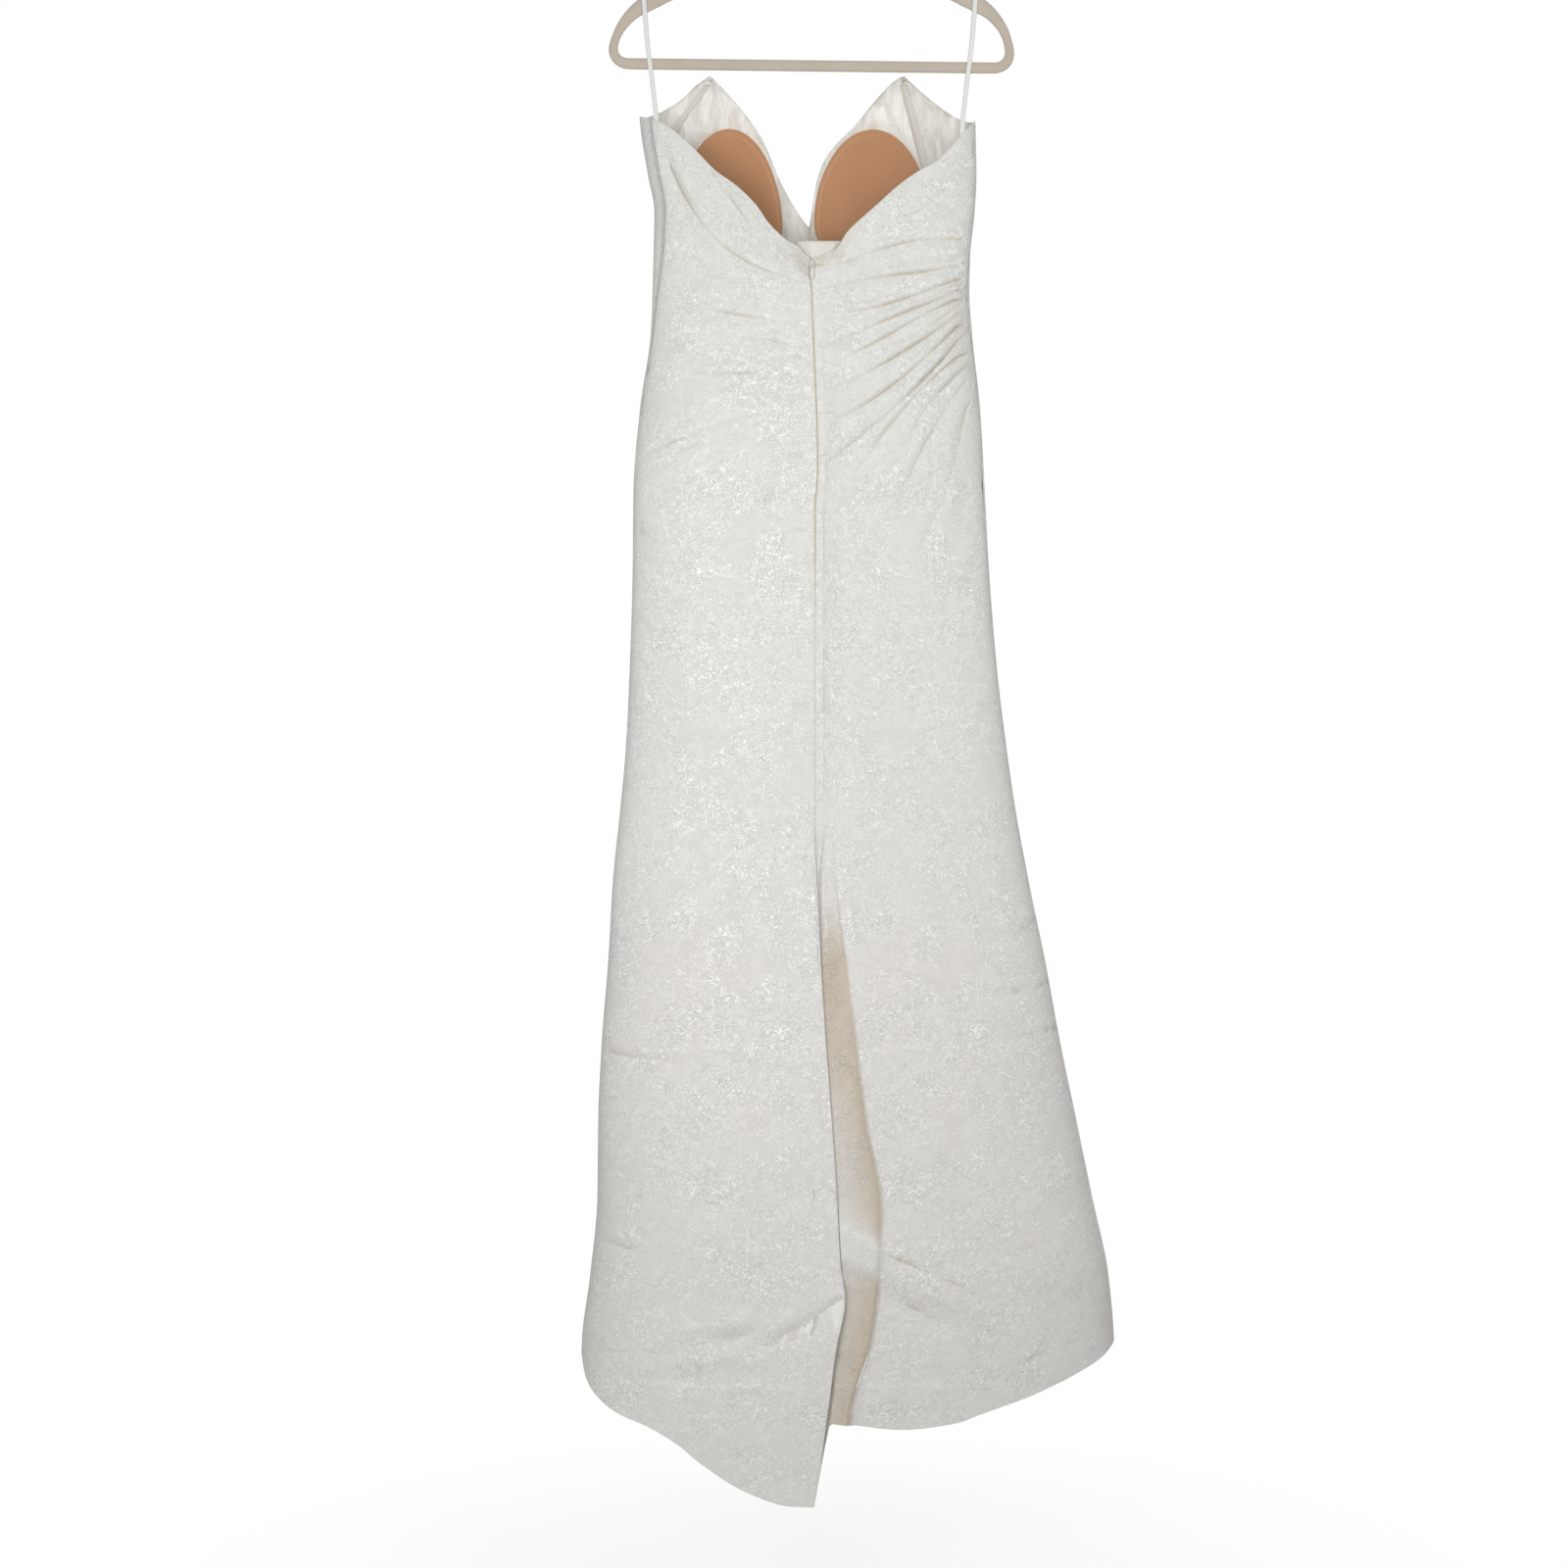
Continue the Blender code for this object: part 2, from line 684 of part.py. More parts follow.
def strip_along(name, rows, profile, look):
    """Sweep of a profile down the back's inside: profile rows are x and inward distance."""
    rings = []
    for drop in rows:
        rings.append([(x, back_y(drop) + inward, UNDERARM_Z - drop) for x, inward in profile(drop)])
    return tube(name, rings, look)


def tape_profile(drop):
    """Flat tape with the coil's low ridge on its inside."""
    near = TAPE_OFF
    far = near + TAPE_THICK
    x = zip_line(drop)
    return [
        (x - TAPE_HALF, near), (x - TAPE_HALF, far), (x - 2.2, far), (x - 1.4, far + COIL_RISE),
        (x + 1.4, far + COIL_RISE), (x + 2.2, far), (x + TAPE_HALF, far), (x + TAPE_HALF, near),
    ]


def guard_profile(drop):
    near = TAPE_OFF + TAPE_THICK + COIL_RISE + GAP
    far = near + GUARD_THICK
    return [(GUARD_LEFT, near), (GUARD_LEFT, far), (GUARD_RIGHT, far), (GUARD_RIGHT, near)]


def add_slider(look):
    """Plate on the cloth with a round bail that holds the tab's eye."""
    face = back_y(ZIP_TOP + 4) - GAP
    bail_y = face - SLIDER_THICK - 0.9
    centre_z = UNDERARM_Z - ZIP_TOP - 4.2
    rings = []
    for share, shrink in ((0.0, 0.5), (0.12, 0.0), (0.85, 0.0), (1.0, 0.5)):
        z = centre_z + SLIDER_TALL * (0.5 - share)
        half = SLIDER_WIDE / 2 * (1 - 0.32 * share) - shrink
        near, far = face - shrink * 0.3, face - SLIDER_THICK + shrink * 0.3
        rings.append([
            (ZIP_X - half, near, z), (ZIP_X - half, far + 0.4, z), (ZIP_X - half + 0.4, far, z),
            (ZIP_X + half - 0.4, far, z), (ZIP_X + half, far + 0.4, z), (ZIP_X + half, near, z),
        ])
    plate = tube("zip_slider", rings, look)
    path = []
    for k in range(13):
        a = math.pi * k / 12
        path.append((ZIP_X, bail_y - BAIL_RADIUS * math.sin(a), centre_z + BAIL_RADIUS * math.cos(a)))
    path = [(ZIP_X, bail_y + 1.6, path[0][2])] + path + [(ZIP_X, bail_y + 1.6, path[-1][2])]
    bail = tube("bail_cutter", wire_rings(path, BAIL_WIRE, 8), look)
    move_to_cutters(bail)
    join = plate.modifiers.new("bail", "BOOLEAN")
    join.operation = "UNION"
    join.solver = "EXACT"
    join.object = bail
    return bail_y, centre_z


def move_to_cutters(piece):
    DRESS.objects.unlink(piece)
    CUTTERS.objects.link(piece)
    piece.hide_render = True
    piece.display_type = "WIRE"


def add_tab(bail_y, bail_z, look):
    """Teardrop tab with an eye; its origin is the eye bar, on the hinge's axis."""
    half_thick = TAB_THICK / 2
    outer, inner = [], []
    count = 20
    hole_top, hole_low, hole_half = -EYE_BAR, -3.5, 0.95
    for k in range(count):
        a = 2 * math.pi * k / count
        round_x, round_z = math.sin(a), math.cos(a)
        middle, half_tall = (EYE_BAR - TAB_LONG) / 2, (TAB_LONG + EYE_BAR) / 2
        z = middle + half_tall * round_z
        widest = TAB_WIDE / 2 * (0.72 + 0.28 * math.sin(math.pi * (middle - z + half_tall) / (2 * half_tall)))
        outer.append((widest * signed_power(round_x, 0.55), z))
        hole_middle, hole_tall = (hole_top + hole_low) / 2, (hole_top - hole_low) / 2
        inner.append((hole_half * signed_power(round_x, 0.7), hole_middle + hole_tall * signed_power(round_z, 0.7)))
    points = []
    for y in (-half_thick, half_thick):
        points += [(x, y, z) for x, z in outer] + [(x, y, z) for x, z in inner]
    faces = []
    for k in range(count):
        a, b = k, (k + 1) % count
        faces.append((a + count, b + count, b, a))
        faces.append((a + 2 * count, b + 2 * count, b + 3 * count, a + 3 * count))
        faces.append((b + 2 * count, a + 2 * count, a, b))
        faces.append((a + 3 * count, b + 3 * count, b + count, a + count))
    tab = add_mesh("zip_tab", points, faces, look)
    tab.location = (ZIP_X * MM, bail_y * MM, bail_z * MM)
    return tab


# Loops and hanger

def add_loop(name, side, seam_x, hang_x, look):
    """Ribbon ring: down inside the dress, up before and behind the hanger's arm."""
    low = UNDERARM_Z - LOOP_DROP
    outer_edge = seam_x + math.copysign(RIBBON_WIDE / 2, seam_x)
    wall = float(body_point(turn_at(outer_edge, LOOP_DROP), LOOP_DROP, "back_" + side)[1])
    sewn = wall + 1.3 * WALL + GAP + RIBBON_THICK / 2
    rear = sewn + 2.4
    before = HANGER_Y - HANGER_THICK / 2 - 0.9
    behind = HANGER_Y + HANGER_THICK / 2 + 0.9
    route = [
        (sewn, low, 1), (sewn, -270, 0.95), (before, -222, 0.6), (before, -180, 0.25),
        (before, LOOP_TOP - 4, 0), (before + 0.8, LOOP_TOP, 0), (HANGER_Y, LOOP_TOP + 1.6, 0),
        (behind - 0.8, LOOP_TOP, 0), (behind, LOOP_TOP - 4, 0), (behind, -180, 0.25),
        (behind, -222, 0.6), (rear, -270, 0.95), (rear, low, 1), ((sewn + rear) / 2, low - 1.6, 1),
    ]
    path = np.array([(hang_x + (seam_x - hang_x) * share, y, z) for y, z, share in route])
    ahead = np.roll(path, -1, axis=0) - np.roll(path, 1, axis=0)
    rings = []
    for point, direction in zip(path, ahead):
        out = np.array([0.0, direction[2], -direction[1]])
        out /= np.linalg.norm(out)
        half = np.array([RIBBON_WIDE / 2, 0, 0])
        away = out * RIBBON_THICK / 2
        rings.append([point - half - away, point - half + away, point + half + away, point + half - away])
    return tube(name, rings[::-1], look, closed=True)


def mirrored(half_outline):
    """Whole ring of an outline from its left half, which starts and ends in the middle."""
    low = (0, half_outline[-1][1])
    return half_outline + [low] + [(-x, z) for x, z in half_outline[:0:-1]]


def add_hanger(look):
    """Flat ring: an outer and an inner outline, with softened edges."""
    outer, inner = np.array(mirrored(HANGER_OUTER), float), np.array(mirrored(HANGER_INNER), float)
    rings = []
    for edge, core in zip(outer, inner):
        soft = 0.12
        ring = []
        for share, depth in ((0, 0.55), (soft, 1), (1 - soft, 1), (1, 0.55)):
            ring.append((share, -depth))
        for share, depth in ((1, 0.55), (1 - soft, 1), (soft, 1), (0, 0.55)):
            ring.append((share, depth))
        points = []
        for share, depth in ring:
            x, z = edge + (core - edge) * share
            points.append((x, HANGER_Y + depth * HANGER_THICK / 2, z))
        rings.append(points)
    return tube("hanger_body", rings[::-1], look, closed=True)


def add_hook(look):
    """Bent wire: a stem up from the neck, then round over the rod."""
    path = [(0, HANGER_Y, -69.6), (0, HANGER_Y, -60), (0, HANGER_Y, -52)]
    path += [(1.2, HANGER_Y, -46.5), (5.0, HANGER_Y, -42.6)]
    for degrees in range(-60, 196, 15):
        a = math.radians(degrees)
        path.append((HOOK_RADIUS * math.cos(a), HANGER_Y, HOOK_CENTRE_Z + HOOK_RADIUS * math.sin(a)))
    return tube("hanger_hook", wire_rings(path, HOOK_WIRE, 10), look)


DRESS = bpy.data.collections.new("strapless_dress")
CUTTERS = bpy.data.collections.new("cutters")
bpy.context.scene.collection.children.link(DRESS)
bpy.context.scene.collection.children.link(CUTTERS)


def main():
    ivory = material("ivory_jacquard", (0.76, 0.75, 0.71), 0.45)
    satin = material("lining_satin", (0.76, 0.74, 0.68), 0.4)
    foam = material("tan_foam", (0.43, 0.22, 0.12), 0.85)
    ribbon = material("white_ribbon", (0.74, 0.75, 0.72), 0.35)
    velvet = material("taupe_velvet", (0.50, 0.44, 0.36), 0.95)
    enamel = material("pale_enamel", (0.72, 0.70, 0.64), 0.35)
    steel = material("bright_steel", (0.75, 0.75, 0.76), 0.2, 1.0)

    left, right, front = left_back_grid(), right_back_grid(), front_grid()
    sheet("back_left", skin(left, NO_PUSH), skin(left, WALL), ivory)
    sheet("back_right", skin(right, NO_PUSH), skin(right, WALL), ivory)
    sheet("front_panel", skin(front, NO_PUSH)[:, ::-1], skin(front, WALL)[:, ::-1], ivory)
    add_linings(front, satin)
    add_cup("cup_left", 0, foam)
    add_cup("cup_right", 1, foam)
    add_boning("boning_left", BONING_LEFT, satin)
    add_boning("boning_right", BONING_RIGHT, satin)
    strip_along("zip_tape", np.linspace(ZIP_TOP + 2, ZIP_END, 14), tape_profile, satin)
    strip_along("zip_guard", np.linspace(GUARD_TOP, GUARD_END, 14), guard_profile, satin)
    bail_y, bail_z = add_slider(enamel)
    add_tab(bail_y, bail_z, enamel)
    add_loop("loop_left", "left", -170, -185, ribbon)
    add_loop("loop_right", "right", 166, 181, ribbon)
    add_hanger(velvet)
    add_hook(steel)


main()
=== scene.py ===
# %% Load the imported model
import math

import bpy
import numpy as np
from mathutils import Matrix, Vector


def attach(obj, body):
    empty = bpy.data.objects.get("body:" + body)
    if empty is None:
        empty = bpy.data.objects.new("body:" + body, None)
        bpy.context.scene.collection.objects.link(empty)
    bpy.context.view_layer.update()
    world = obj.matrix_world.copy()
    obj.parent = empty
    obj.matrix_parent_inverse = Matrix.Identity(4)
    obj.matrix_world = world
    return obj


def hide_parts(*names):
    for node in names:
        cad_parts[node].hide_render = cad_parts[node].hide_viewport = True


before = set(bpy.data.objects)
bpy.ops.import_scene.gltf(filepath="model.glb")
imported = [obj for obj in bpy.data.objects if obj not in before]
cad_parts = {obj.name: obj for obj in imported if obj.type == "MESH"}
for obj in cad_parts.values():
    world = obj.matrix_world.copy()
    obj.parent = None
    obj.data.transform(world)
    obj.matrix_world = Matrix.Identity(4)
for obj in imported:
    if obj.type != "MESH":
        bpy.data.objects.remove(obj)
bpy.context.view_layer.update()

# %% [markdown]
# The object is a floor-length strapless dress that hangs by two ribbon loops from a velvet hanger, seen
# from the back. Cloth like this could be draped by a simulation, but its gathers and its train fold have
# places that the photograph fixes. So the form is worked out here instead: the body is a row of level
# sections, and creases are pressed into it one by one. Sizes are in millimetres, and a "drop" is a
# distance below the underarm line.

# %% Tables of sizes
MM = 0.001
UNDERARM_Z = -265.0


def table(columns, rows):
    """Rows of numbers as one array for each named column."""
    values = np.array(rows, dtype=float)
    return {name: values[:, place] for place, name in enumerate(columns.split())}


def tangents(stops, values):
    """Slopes at the rows for a smooth curve that never overshoots them."""
    run = np.diff(stops)
    steep = np.diff(values) / run
    slopes = np.zeros(len(stops))
    slopes[0], slopes[-1] = steep[0], steep[-1]
    before, after = steep[:-1], steep[1:]
    heavy, light = 2 * run[1:] + run[:-1], run[1:] + 2 * run[:-1]
    same_way = before * after > 0
    safe_before, safe_after = np.where(same_way, before, 1), np.where(same_way, after, 1)
    mixed = (heavy + light) / (heavy / safe_before + light / safe_after)
    slopes[1:-1] = np.where(same_way, mixed, 0)
    return slopes


def read(source, column, at, along="drop"):
    """Value of a column on the smooth curve through the table's rows."""
    stops, values = source[along], source[column]
    slopes = tangents(stops, values)
    at = np.clip(at, stops[0], stops[-1])
    k = np.clip(np.searchsorted(stops, at, side="right") - 1, 0, len(stops) - 2)
    run = stops[k + 1] - stops[k]
    f = (at - stops[k]) / run
    start = (1 + 2 * f) * (1 - f) ** 2 * values[k] + f * (1 - f) ** 2 * run * slopes[k]
    end = f ** 2 * (3 - 2 * f) * values[k + 1] + f ** 2 * (f - 1) * run * slopes[k + 1]
    return start + end


print("smooth reading of 5 between 0 and 10:", read(table("drop width", [(0, 0), (10, 4)]), "width", 5.0))

# %% [markdown]
# The body of the dress is a tube whose section changes from the bust to the hem. Each section is close to
# an ellipse with flatter sides, which is how lined cloth hangs when nobody fills it. The outline's left and
# right columns come from the photograph, and the depths from what such a dress keeps when it hangs.

# %% The body's sections
SIDE_Y = 8.0
SQUARENESS = 2.4

BODY = table(
    "drop left right back_left back_right front",
    [
        (-80, -194, 184, -26, -26, 62),
        (0, -190, 182, -28, -28, 66),
        (60, -181, 183, -30, -30, 70),
        (100, -174, 181, -31, -31, 68),
        (150, -175, 176, -32, -32, 60),
        (190, -176, 175, -34, -34, 54),
        (235, -178, 178, -35, -35, 50),
        (320, -190, 187, -36, -36, 50),
        (408, -197, 192, -36, -36, 54),
        (500, -198, 197, -37, -37, 56),
        (600, -201, 205, -38, -38, 57),
        (700, -206, 217, -40, -40, 58),
        (755, -211, 225, -42, -42, 59),
        (843, -220, 241, -48, -46, 61),
        (930, -225, 259, -55, -51, 63),
        (1017, -232, 275, -63, -57, 66),
        (1104, -236, 293, -71, -63, 69),
        (1191, -237, 311, -78, -69, 73),
        (1278, -245, 329, -84, -74, 77),
        (1349, -254, 335, -86, -76, 79),
        (1520, -258, 338, -90, -76, 84),
    ],
)
BUST = table("x drop across along push", [(-90, 55, 52, 62, 17), (80, 50, 52, 62, 17)])


def signed_power(value, power):
    """Power of a value's size, with the value's own sign."""
    return np.sign(value) * np.abs(value) ** power


def bust_push(x, drop):
    """How far the two cups push the front out."""
    total = 0.0
    for i in range(2):
        across = (x - BUST["x"][i]) / BUST["across"][i]
        along = (drop - BUST["drop"][i]) / BUST["along"][i]
        total = total + BUST["push"][i] * np.exp(-across ** 2 - along ** 2)
    return total


def body_point(turn, drop, back):
    """Point of a section: turn 0 is the left side, a quarter is the back, a half is the right side."""
    left, right = read(BODY, "left", drop), read(BODY, "right", drop)
    middle, half = (left + right) / 2, (right - left) / 2
    x = middle - half * signed_power(np.cos(turn), 2 / SQUARENESS)
    to_back = signed_power(np.sin(turn), 2 / SQUARENESS)
    deep = np.where(to_back > 0, SIDE_Y - read(BODY, back, drop), read(BODY, "front", drop) - SIDE_Y)
    cups = np.where(to_back < 0, bust_push(x, drop) * np.minimum(1, -2 * to_back), 0)
    return x, SIDE_Y - deep * to_back + cups


def body_normal(turn, drop, back):
    """Level outward direction of the section."""
    x0, y0 = body_point(turn - 0.02, drop, back)
    x1, y1 = body_point(turn + 0.02, drop, back)
    length = np.hypot(x1 - x0, y1 - y0)
    return (y1 - y0) / length, -(x1 - x0) / length


def turn_at(x, drop):
    """Turn of the back section that stands at x."""
    left, right = read(BODY, "left", drop), read(BODY, "right", drop)
    across = (x - (left + right) / 2) / ((right - left) / 2)
    return np.arccos(-signed_power(np.clip(across, -1, 1), SQUARENESS / 2))


for drop in (100, 190, 800, 1349):
    wide = float(read(BODY, "right", drop) - read(BODY, "left", drop))
    print("width at drop", drop, "is", round(wide, 1), "mm")

# %% [markdown]
# Four edges give the dress its cut: the low back neck, the deep V of the front, the hem with its short
# train, and the two side seams. Each edge is a short table of places along X, read as a smooth curve, so
# the edge keeps its shape however fine the mesh is.

# %% Edges and seams
SEAM = table("drop left right", [(-10, 24, 10), (130, 24, 10), (230, 12, 8), (330, 4, 4), (1400, 2, 2)])
BACK_NECK = table(
    "x drop",
    [
        (-192, -5), (-164, 7), (-129, 37), (-106, 61), (-82, 79), (-61, 100), (-47, 120), (-27, 139),
        (-13, 147), (-6, 155), (-1, 158), (4, 158), (14, 154.5), (28, 147), (38, 131), (54, 115),
        (71, 100), (95, 78), (117, 62), (137, 50), (154, 33), (170, 14), (184, 0),
    ],
)
FRONT_NECK = table(
    "x drop",
    [
        (-192, -5), (-160, -24), (-142, -38), (-131, -50), (-118, -60), (-114, -62.5), (-110, -59.5),
        (-96, -46), (-67, -13), (-53, 8), (-32, 57), (-14, 89), (0, 106), (5, 64), (11, 38), (24, 16),
        (50, -10), (72, -36), (92, -56), (100, -61), (104, -63), (108, -59.5), (131, -38), (152, -20),
        (170, -7), (184, 0),
    ],
)
BACK_HEM = table(
    "x drop",
    [
        (-256, 1360), (-250, 1382), (-238, 1400), (-210, 1418), (-183, 1427), (-146, 1446),
        (-120, 1466), (-66, 1497), (-25, 1509), (5, 1510), (20, 1423), (97, 1430), (154, 1424),
        (184, 1414), (242, 1395), (286, 1377), (320, 1360), (336, 1347),
    ],
)
LEVELS = table(
    "left right middle rows",
    [
        (150, 162, 194, 110),
        (290, 234, 393, 170),
        (430, 310, 560, 90),
        (760, 700, 800, 84),
        (1230, 1200, 1230, 112),
    ],
)
LAST_ROWS = 78
EDGE_STEPS = np.array([0, 0.1, 0.3, 0.6, 1.0, 1.6])
EDGE_BAND = 2.4


def level_rows(top, levels, hem):
    """Drops of all rows for every column: close together at both edges, then even between levels."""
    first, last = top + EDGE_BAND, hem - EDGE_BAND
    stops = [first, *levels, last]
    counts = [int(n) for n in LEVELS["rows"]] + [LAST_ROWS]
    rows = [top + step for step in EDGE_STEPS]
    for upper, lower, count in zip(stops[:-1], stops[1:], counts):
        rows.extend(upper + (lower - upper) * k / count for k in range(count))
    rows.append(last)
    rows.extend(hem - step for step in EDGE_STEPS[::-1])
    return np.array(rows)


def edge_drop(edge, place, back, first_look):
    """Neck or hem of each column; the looks settle it, as the section changes with the drop."""
    drop = first_look
    for look in range(4):
        drop = read(edge, "drop", body_point(place(drop), drop, back)[0], along="x")
    return drop


print("rows from neck to hem:", len(level_rows(0.0, [200, 400, 600, 800, 1200], 1400)))

# %% [markdown]
# Below the hip the left back panel laps over the right one in one deep knife fold. On the real dress it is
# the train's spare cloth, folded under while it hangs. A fold like this is a walk: the cloth goes to the
# right, turns round a small radius, goes back under itself, turns again and comes out. The second turn is
# the tighter one, so the layers lie close. The table says how far each stretch goes at each drop, so the fold
# grows out of a flat back with no break. To the right of the fold the under layer dips away and then steps
# up to the right panel, which shows as a shaded wedge.

# %% The centre-back fold
FOLD_ANGLE = math.radians(177)
FOLD_EXIT = 1.2
TURN_STEPS = 12
LAP_STEPS = 10
EXIT_STEPS = 9
SEAM_STEP = TURN_STEPS + LAP_STEPS // 2
ALL_STEPS = 2 * TURN_STEPS + LAP_STEPS + EXIT_STEPS
FOLD = table(
    "drop start valley turn lap turned shade",
    [
        (0, -9, 30, 5, 4, 0, 0.9),
        (160, -8, 30, 5, 4, 0, 0.9),
        (240, -5, 30, 5, 4, 0, 0.9),
        (390, 0, 35, 5, 4, 0, 0.9),
        (434, -3, 35, 5, 4, 0, 0.9),
        (765, -3, 30, 5, 4, 0, 0.9),
        (828, 3, 26, 3.3, 4, 0.5, 0.9),
        (870, 6, 30, 3.3, 6, 0.8, 0.95),
        (930, 9, 38, 3.3, 12, 0.95, 0.95),
        (1010, 14, 48, 3.3, 26, 1, 0.85),
        (1091, 20, 58, 3.3, 38, 1, 0.45),
        (1196, 27, 76, 3.3, 50, 1, 0.3),
        (1252, 30, 74, 3.3, 55, 1, 0.3),
        (1292, 35, 71, 3.3, 58, 1, 0.5),
        (1336, 26, 64, 3.3, 60, 1, 0.6),
        (1409, 16, 42, 3.3, 60, 1, 0.55),
        (1510, 2, 34, 3.3, 60, 1, 0.5),
    ],
)
SECOND_TURN = 0.6
UNDER_LAYER = table(
    "across depth",
    [(0, 1), (0.01, 0.72), (0.03, 0.6), (0.3, 0.7), (0.82, 1.5), (0.92, 1.1), (1, 0)],
)
LEFT_TIP = 1510
HIDDEN_RISE = 87


def fold_walk(drop, station):
    """Where the cloth is after so many steps of the walk, and which way it then goes."""
    drop, station = np.broadcast_arrays(np.asarray(drop, float), np.asarray(station, float))
    drop, station = drop[..., None], station[..., None]
    turn, lap = read(FOLD, "turn", drop), read(FOLD, "lap", drop)
    most = FOLD_ANGLE * read(FOLD, "turned", drop)
    leave = FOLD_EXIT + lap * np.maximum(0, -np.cos(most))
    step = np.arange(ALL_STEPS)
    into = np.clip((step + 0.5) / TURN_STEPS, 0, 1)
    out_of = np.clip((step + 0.5 - TURN_STEPS - LAP_STEPS) / TURN_STEPS, 0, 1)
    angle = most * (into - out_of)
    second_turn = turn * (1 - (1 - SECOND_TURN) * read(FOLD, "turned", drop))
    length = np.where(step < 2 * TURN_STEPS + LAP_STEPS, second_turn / TURN_STEPS, leave / EXIT_STEPS)
    length = np.where(step < TURN_STEPS + LAP_STEPS, lap / LAP_STEPS, length)
    length = np.where(step < TURN_STEPS, turn / TURN_STEPS, length) * (step < station)
    x, y = (length * np.cos(angle)).sum(-1), (length * np.sin(angle)).sum(-1)
    station, most = station[..., 0], most[..., 0]
    facing = most * (np.clip(station / TURN_STEPS, 0, 1)
                     - np.clip((station - TURN_STEPS - LAP_STEPS) / TURN_STEPS, 0, 1))
    return x, y, facing


def fold_hem(station):
    """Hem of the hidden layers, from the left panel's tip up to the right panel."""
    return LEFT_TIP - HIDDEN_RISE * (station / ALL_STEPS) ** 0.8


print("fold depth near the hem:", np.round(fold_walk(1400.0, ALL_STEPS)[1], 1), "mm")

# %% [markdown]
# The right side seam draws the cloth up, and creases fan out from it over the back. Real gathers are uneven,
# so each crease is a row of its own: two ends, how far it sags below the straight line, its width and its
# depth. One could also sculpt them by hand, but rows can be set beside the photograph and moved by the
# millimetre. The left side comes first: it is pulled only softly, and its train is bent across.

# %% Creases of the left back
CREASE_COLUMNS = "x0 drop0 x1 drop1 sag width depth"
LEFT_CREASES = table(
    CREASE_COLUMNS,
    [
        (-160, 43, 2, 187, 33, 6, 3.4),
        (-150, 70, -8, 205, 30, 7, 1.2),
        (-111, 59, -58, 129, 3, 5, 2.0),
        (-136, 150, -60, 186, 8, 6, 1.0),
        (-130, 208, 4, 236, 2, 5, 2.4),
        (-80, 245, 0, 257, 0, 4, 1.5),
        (-168, 244, -96, 262, 3, 6, 0.9),
        (-138, 283, 6, 289, 0, 5, 2.2),
        (-96, 300, 4, 303, -2, 5, 0.9),
        (-190, 376, -20, 326, -9, 6, 1.9),
        (-164, 377, -106, 349, 3, 5, 1.7),
        (-136, 402, -82, 383, 0, 5, 1.5),
        (-62, 427, 4, 398, 3, 6, 2.0),
        (-122, 477, -40, 456, 2, 7, 1.7),
        (-192, 455, -165, 471, 0, 6, 1.7),
        (-188, 560, -150, 572, 2, 7, 0.9),
        (-60, 620, -16, 575, 4, 9, 0.8),
        (42, 1290, -66, 1352, -2, 8.5, 5.2),
        (-36, 1320, -190, 1358, -2, 10, 4.0),
        (-60, 1362, -200, 1388, -4, 11, 3.2),
        (-9, 216, -34, 211, 1, 3, 1.1),
        (-6, 268, -30, 262, 1, 3, 1.2),
        (-4, 333, -26, 330, 1, 3, 1.1),
        (-6, 372, -40, 378, 2, 3.5, 1.3),
        (-6, 455, -34, 462, 2, 4, 1.1),
        (-6, 520, -26, 516, 1, 4, 0.8),
        (-52, 1388, -90, 1393, 0, 5, 1.5),
        (-128, 1378, -150, 1452, 0, 9, 2.2),
        (-150, 1250, -196, 1330, 4, 14, 1.4),
        (-226, 1026, -132, 1034, 3, 5, 1.8),
        (-238, 1232, -158, 1243, 2, 6, 1.9),
        (-214, 905, -160, 893, 2, 6, 1.2),
        (-92, 1030, -20, 1046, 3, 7, 1.1),
    ],
)
print("creases of the left back:", len(LEFT_CREASES["x0"]))

# %% [markdown]
# The right side carries the gathers: long rows that all start at the side seam and run to the zip, with
# short ones between them. Below them come tiny puckers beside the zip and the bent folds of the train.

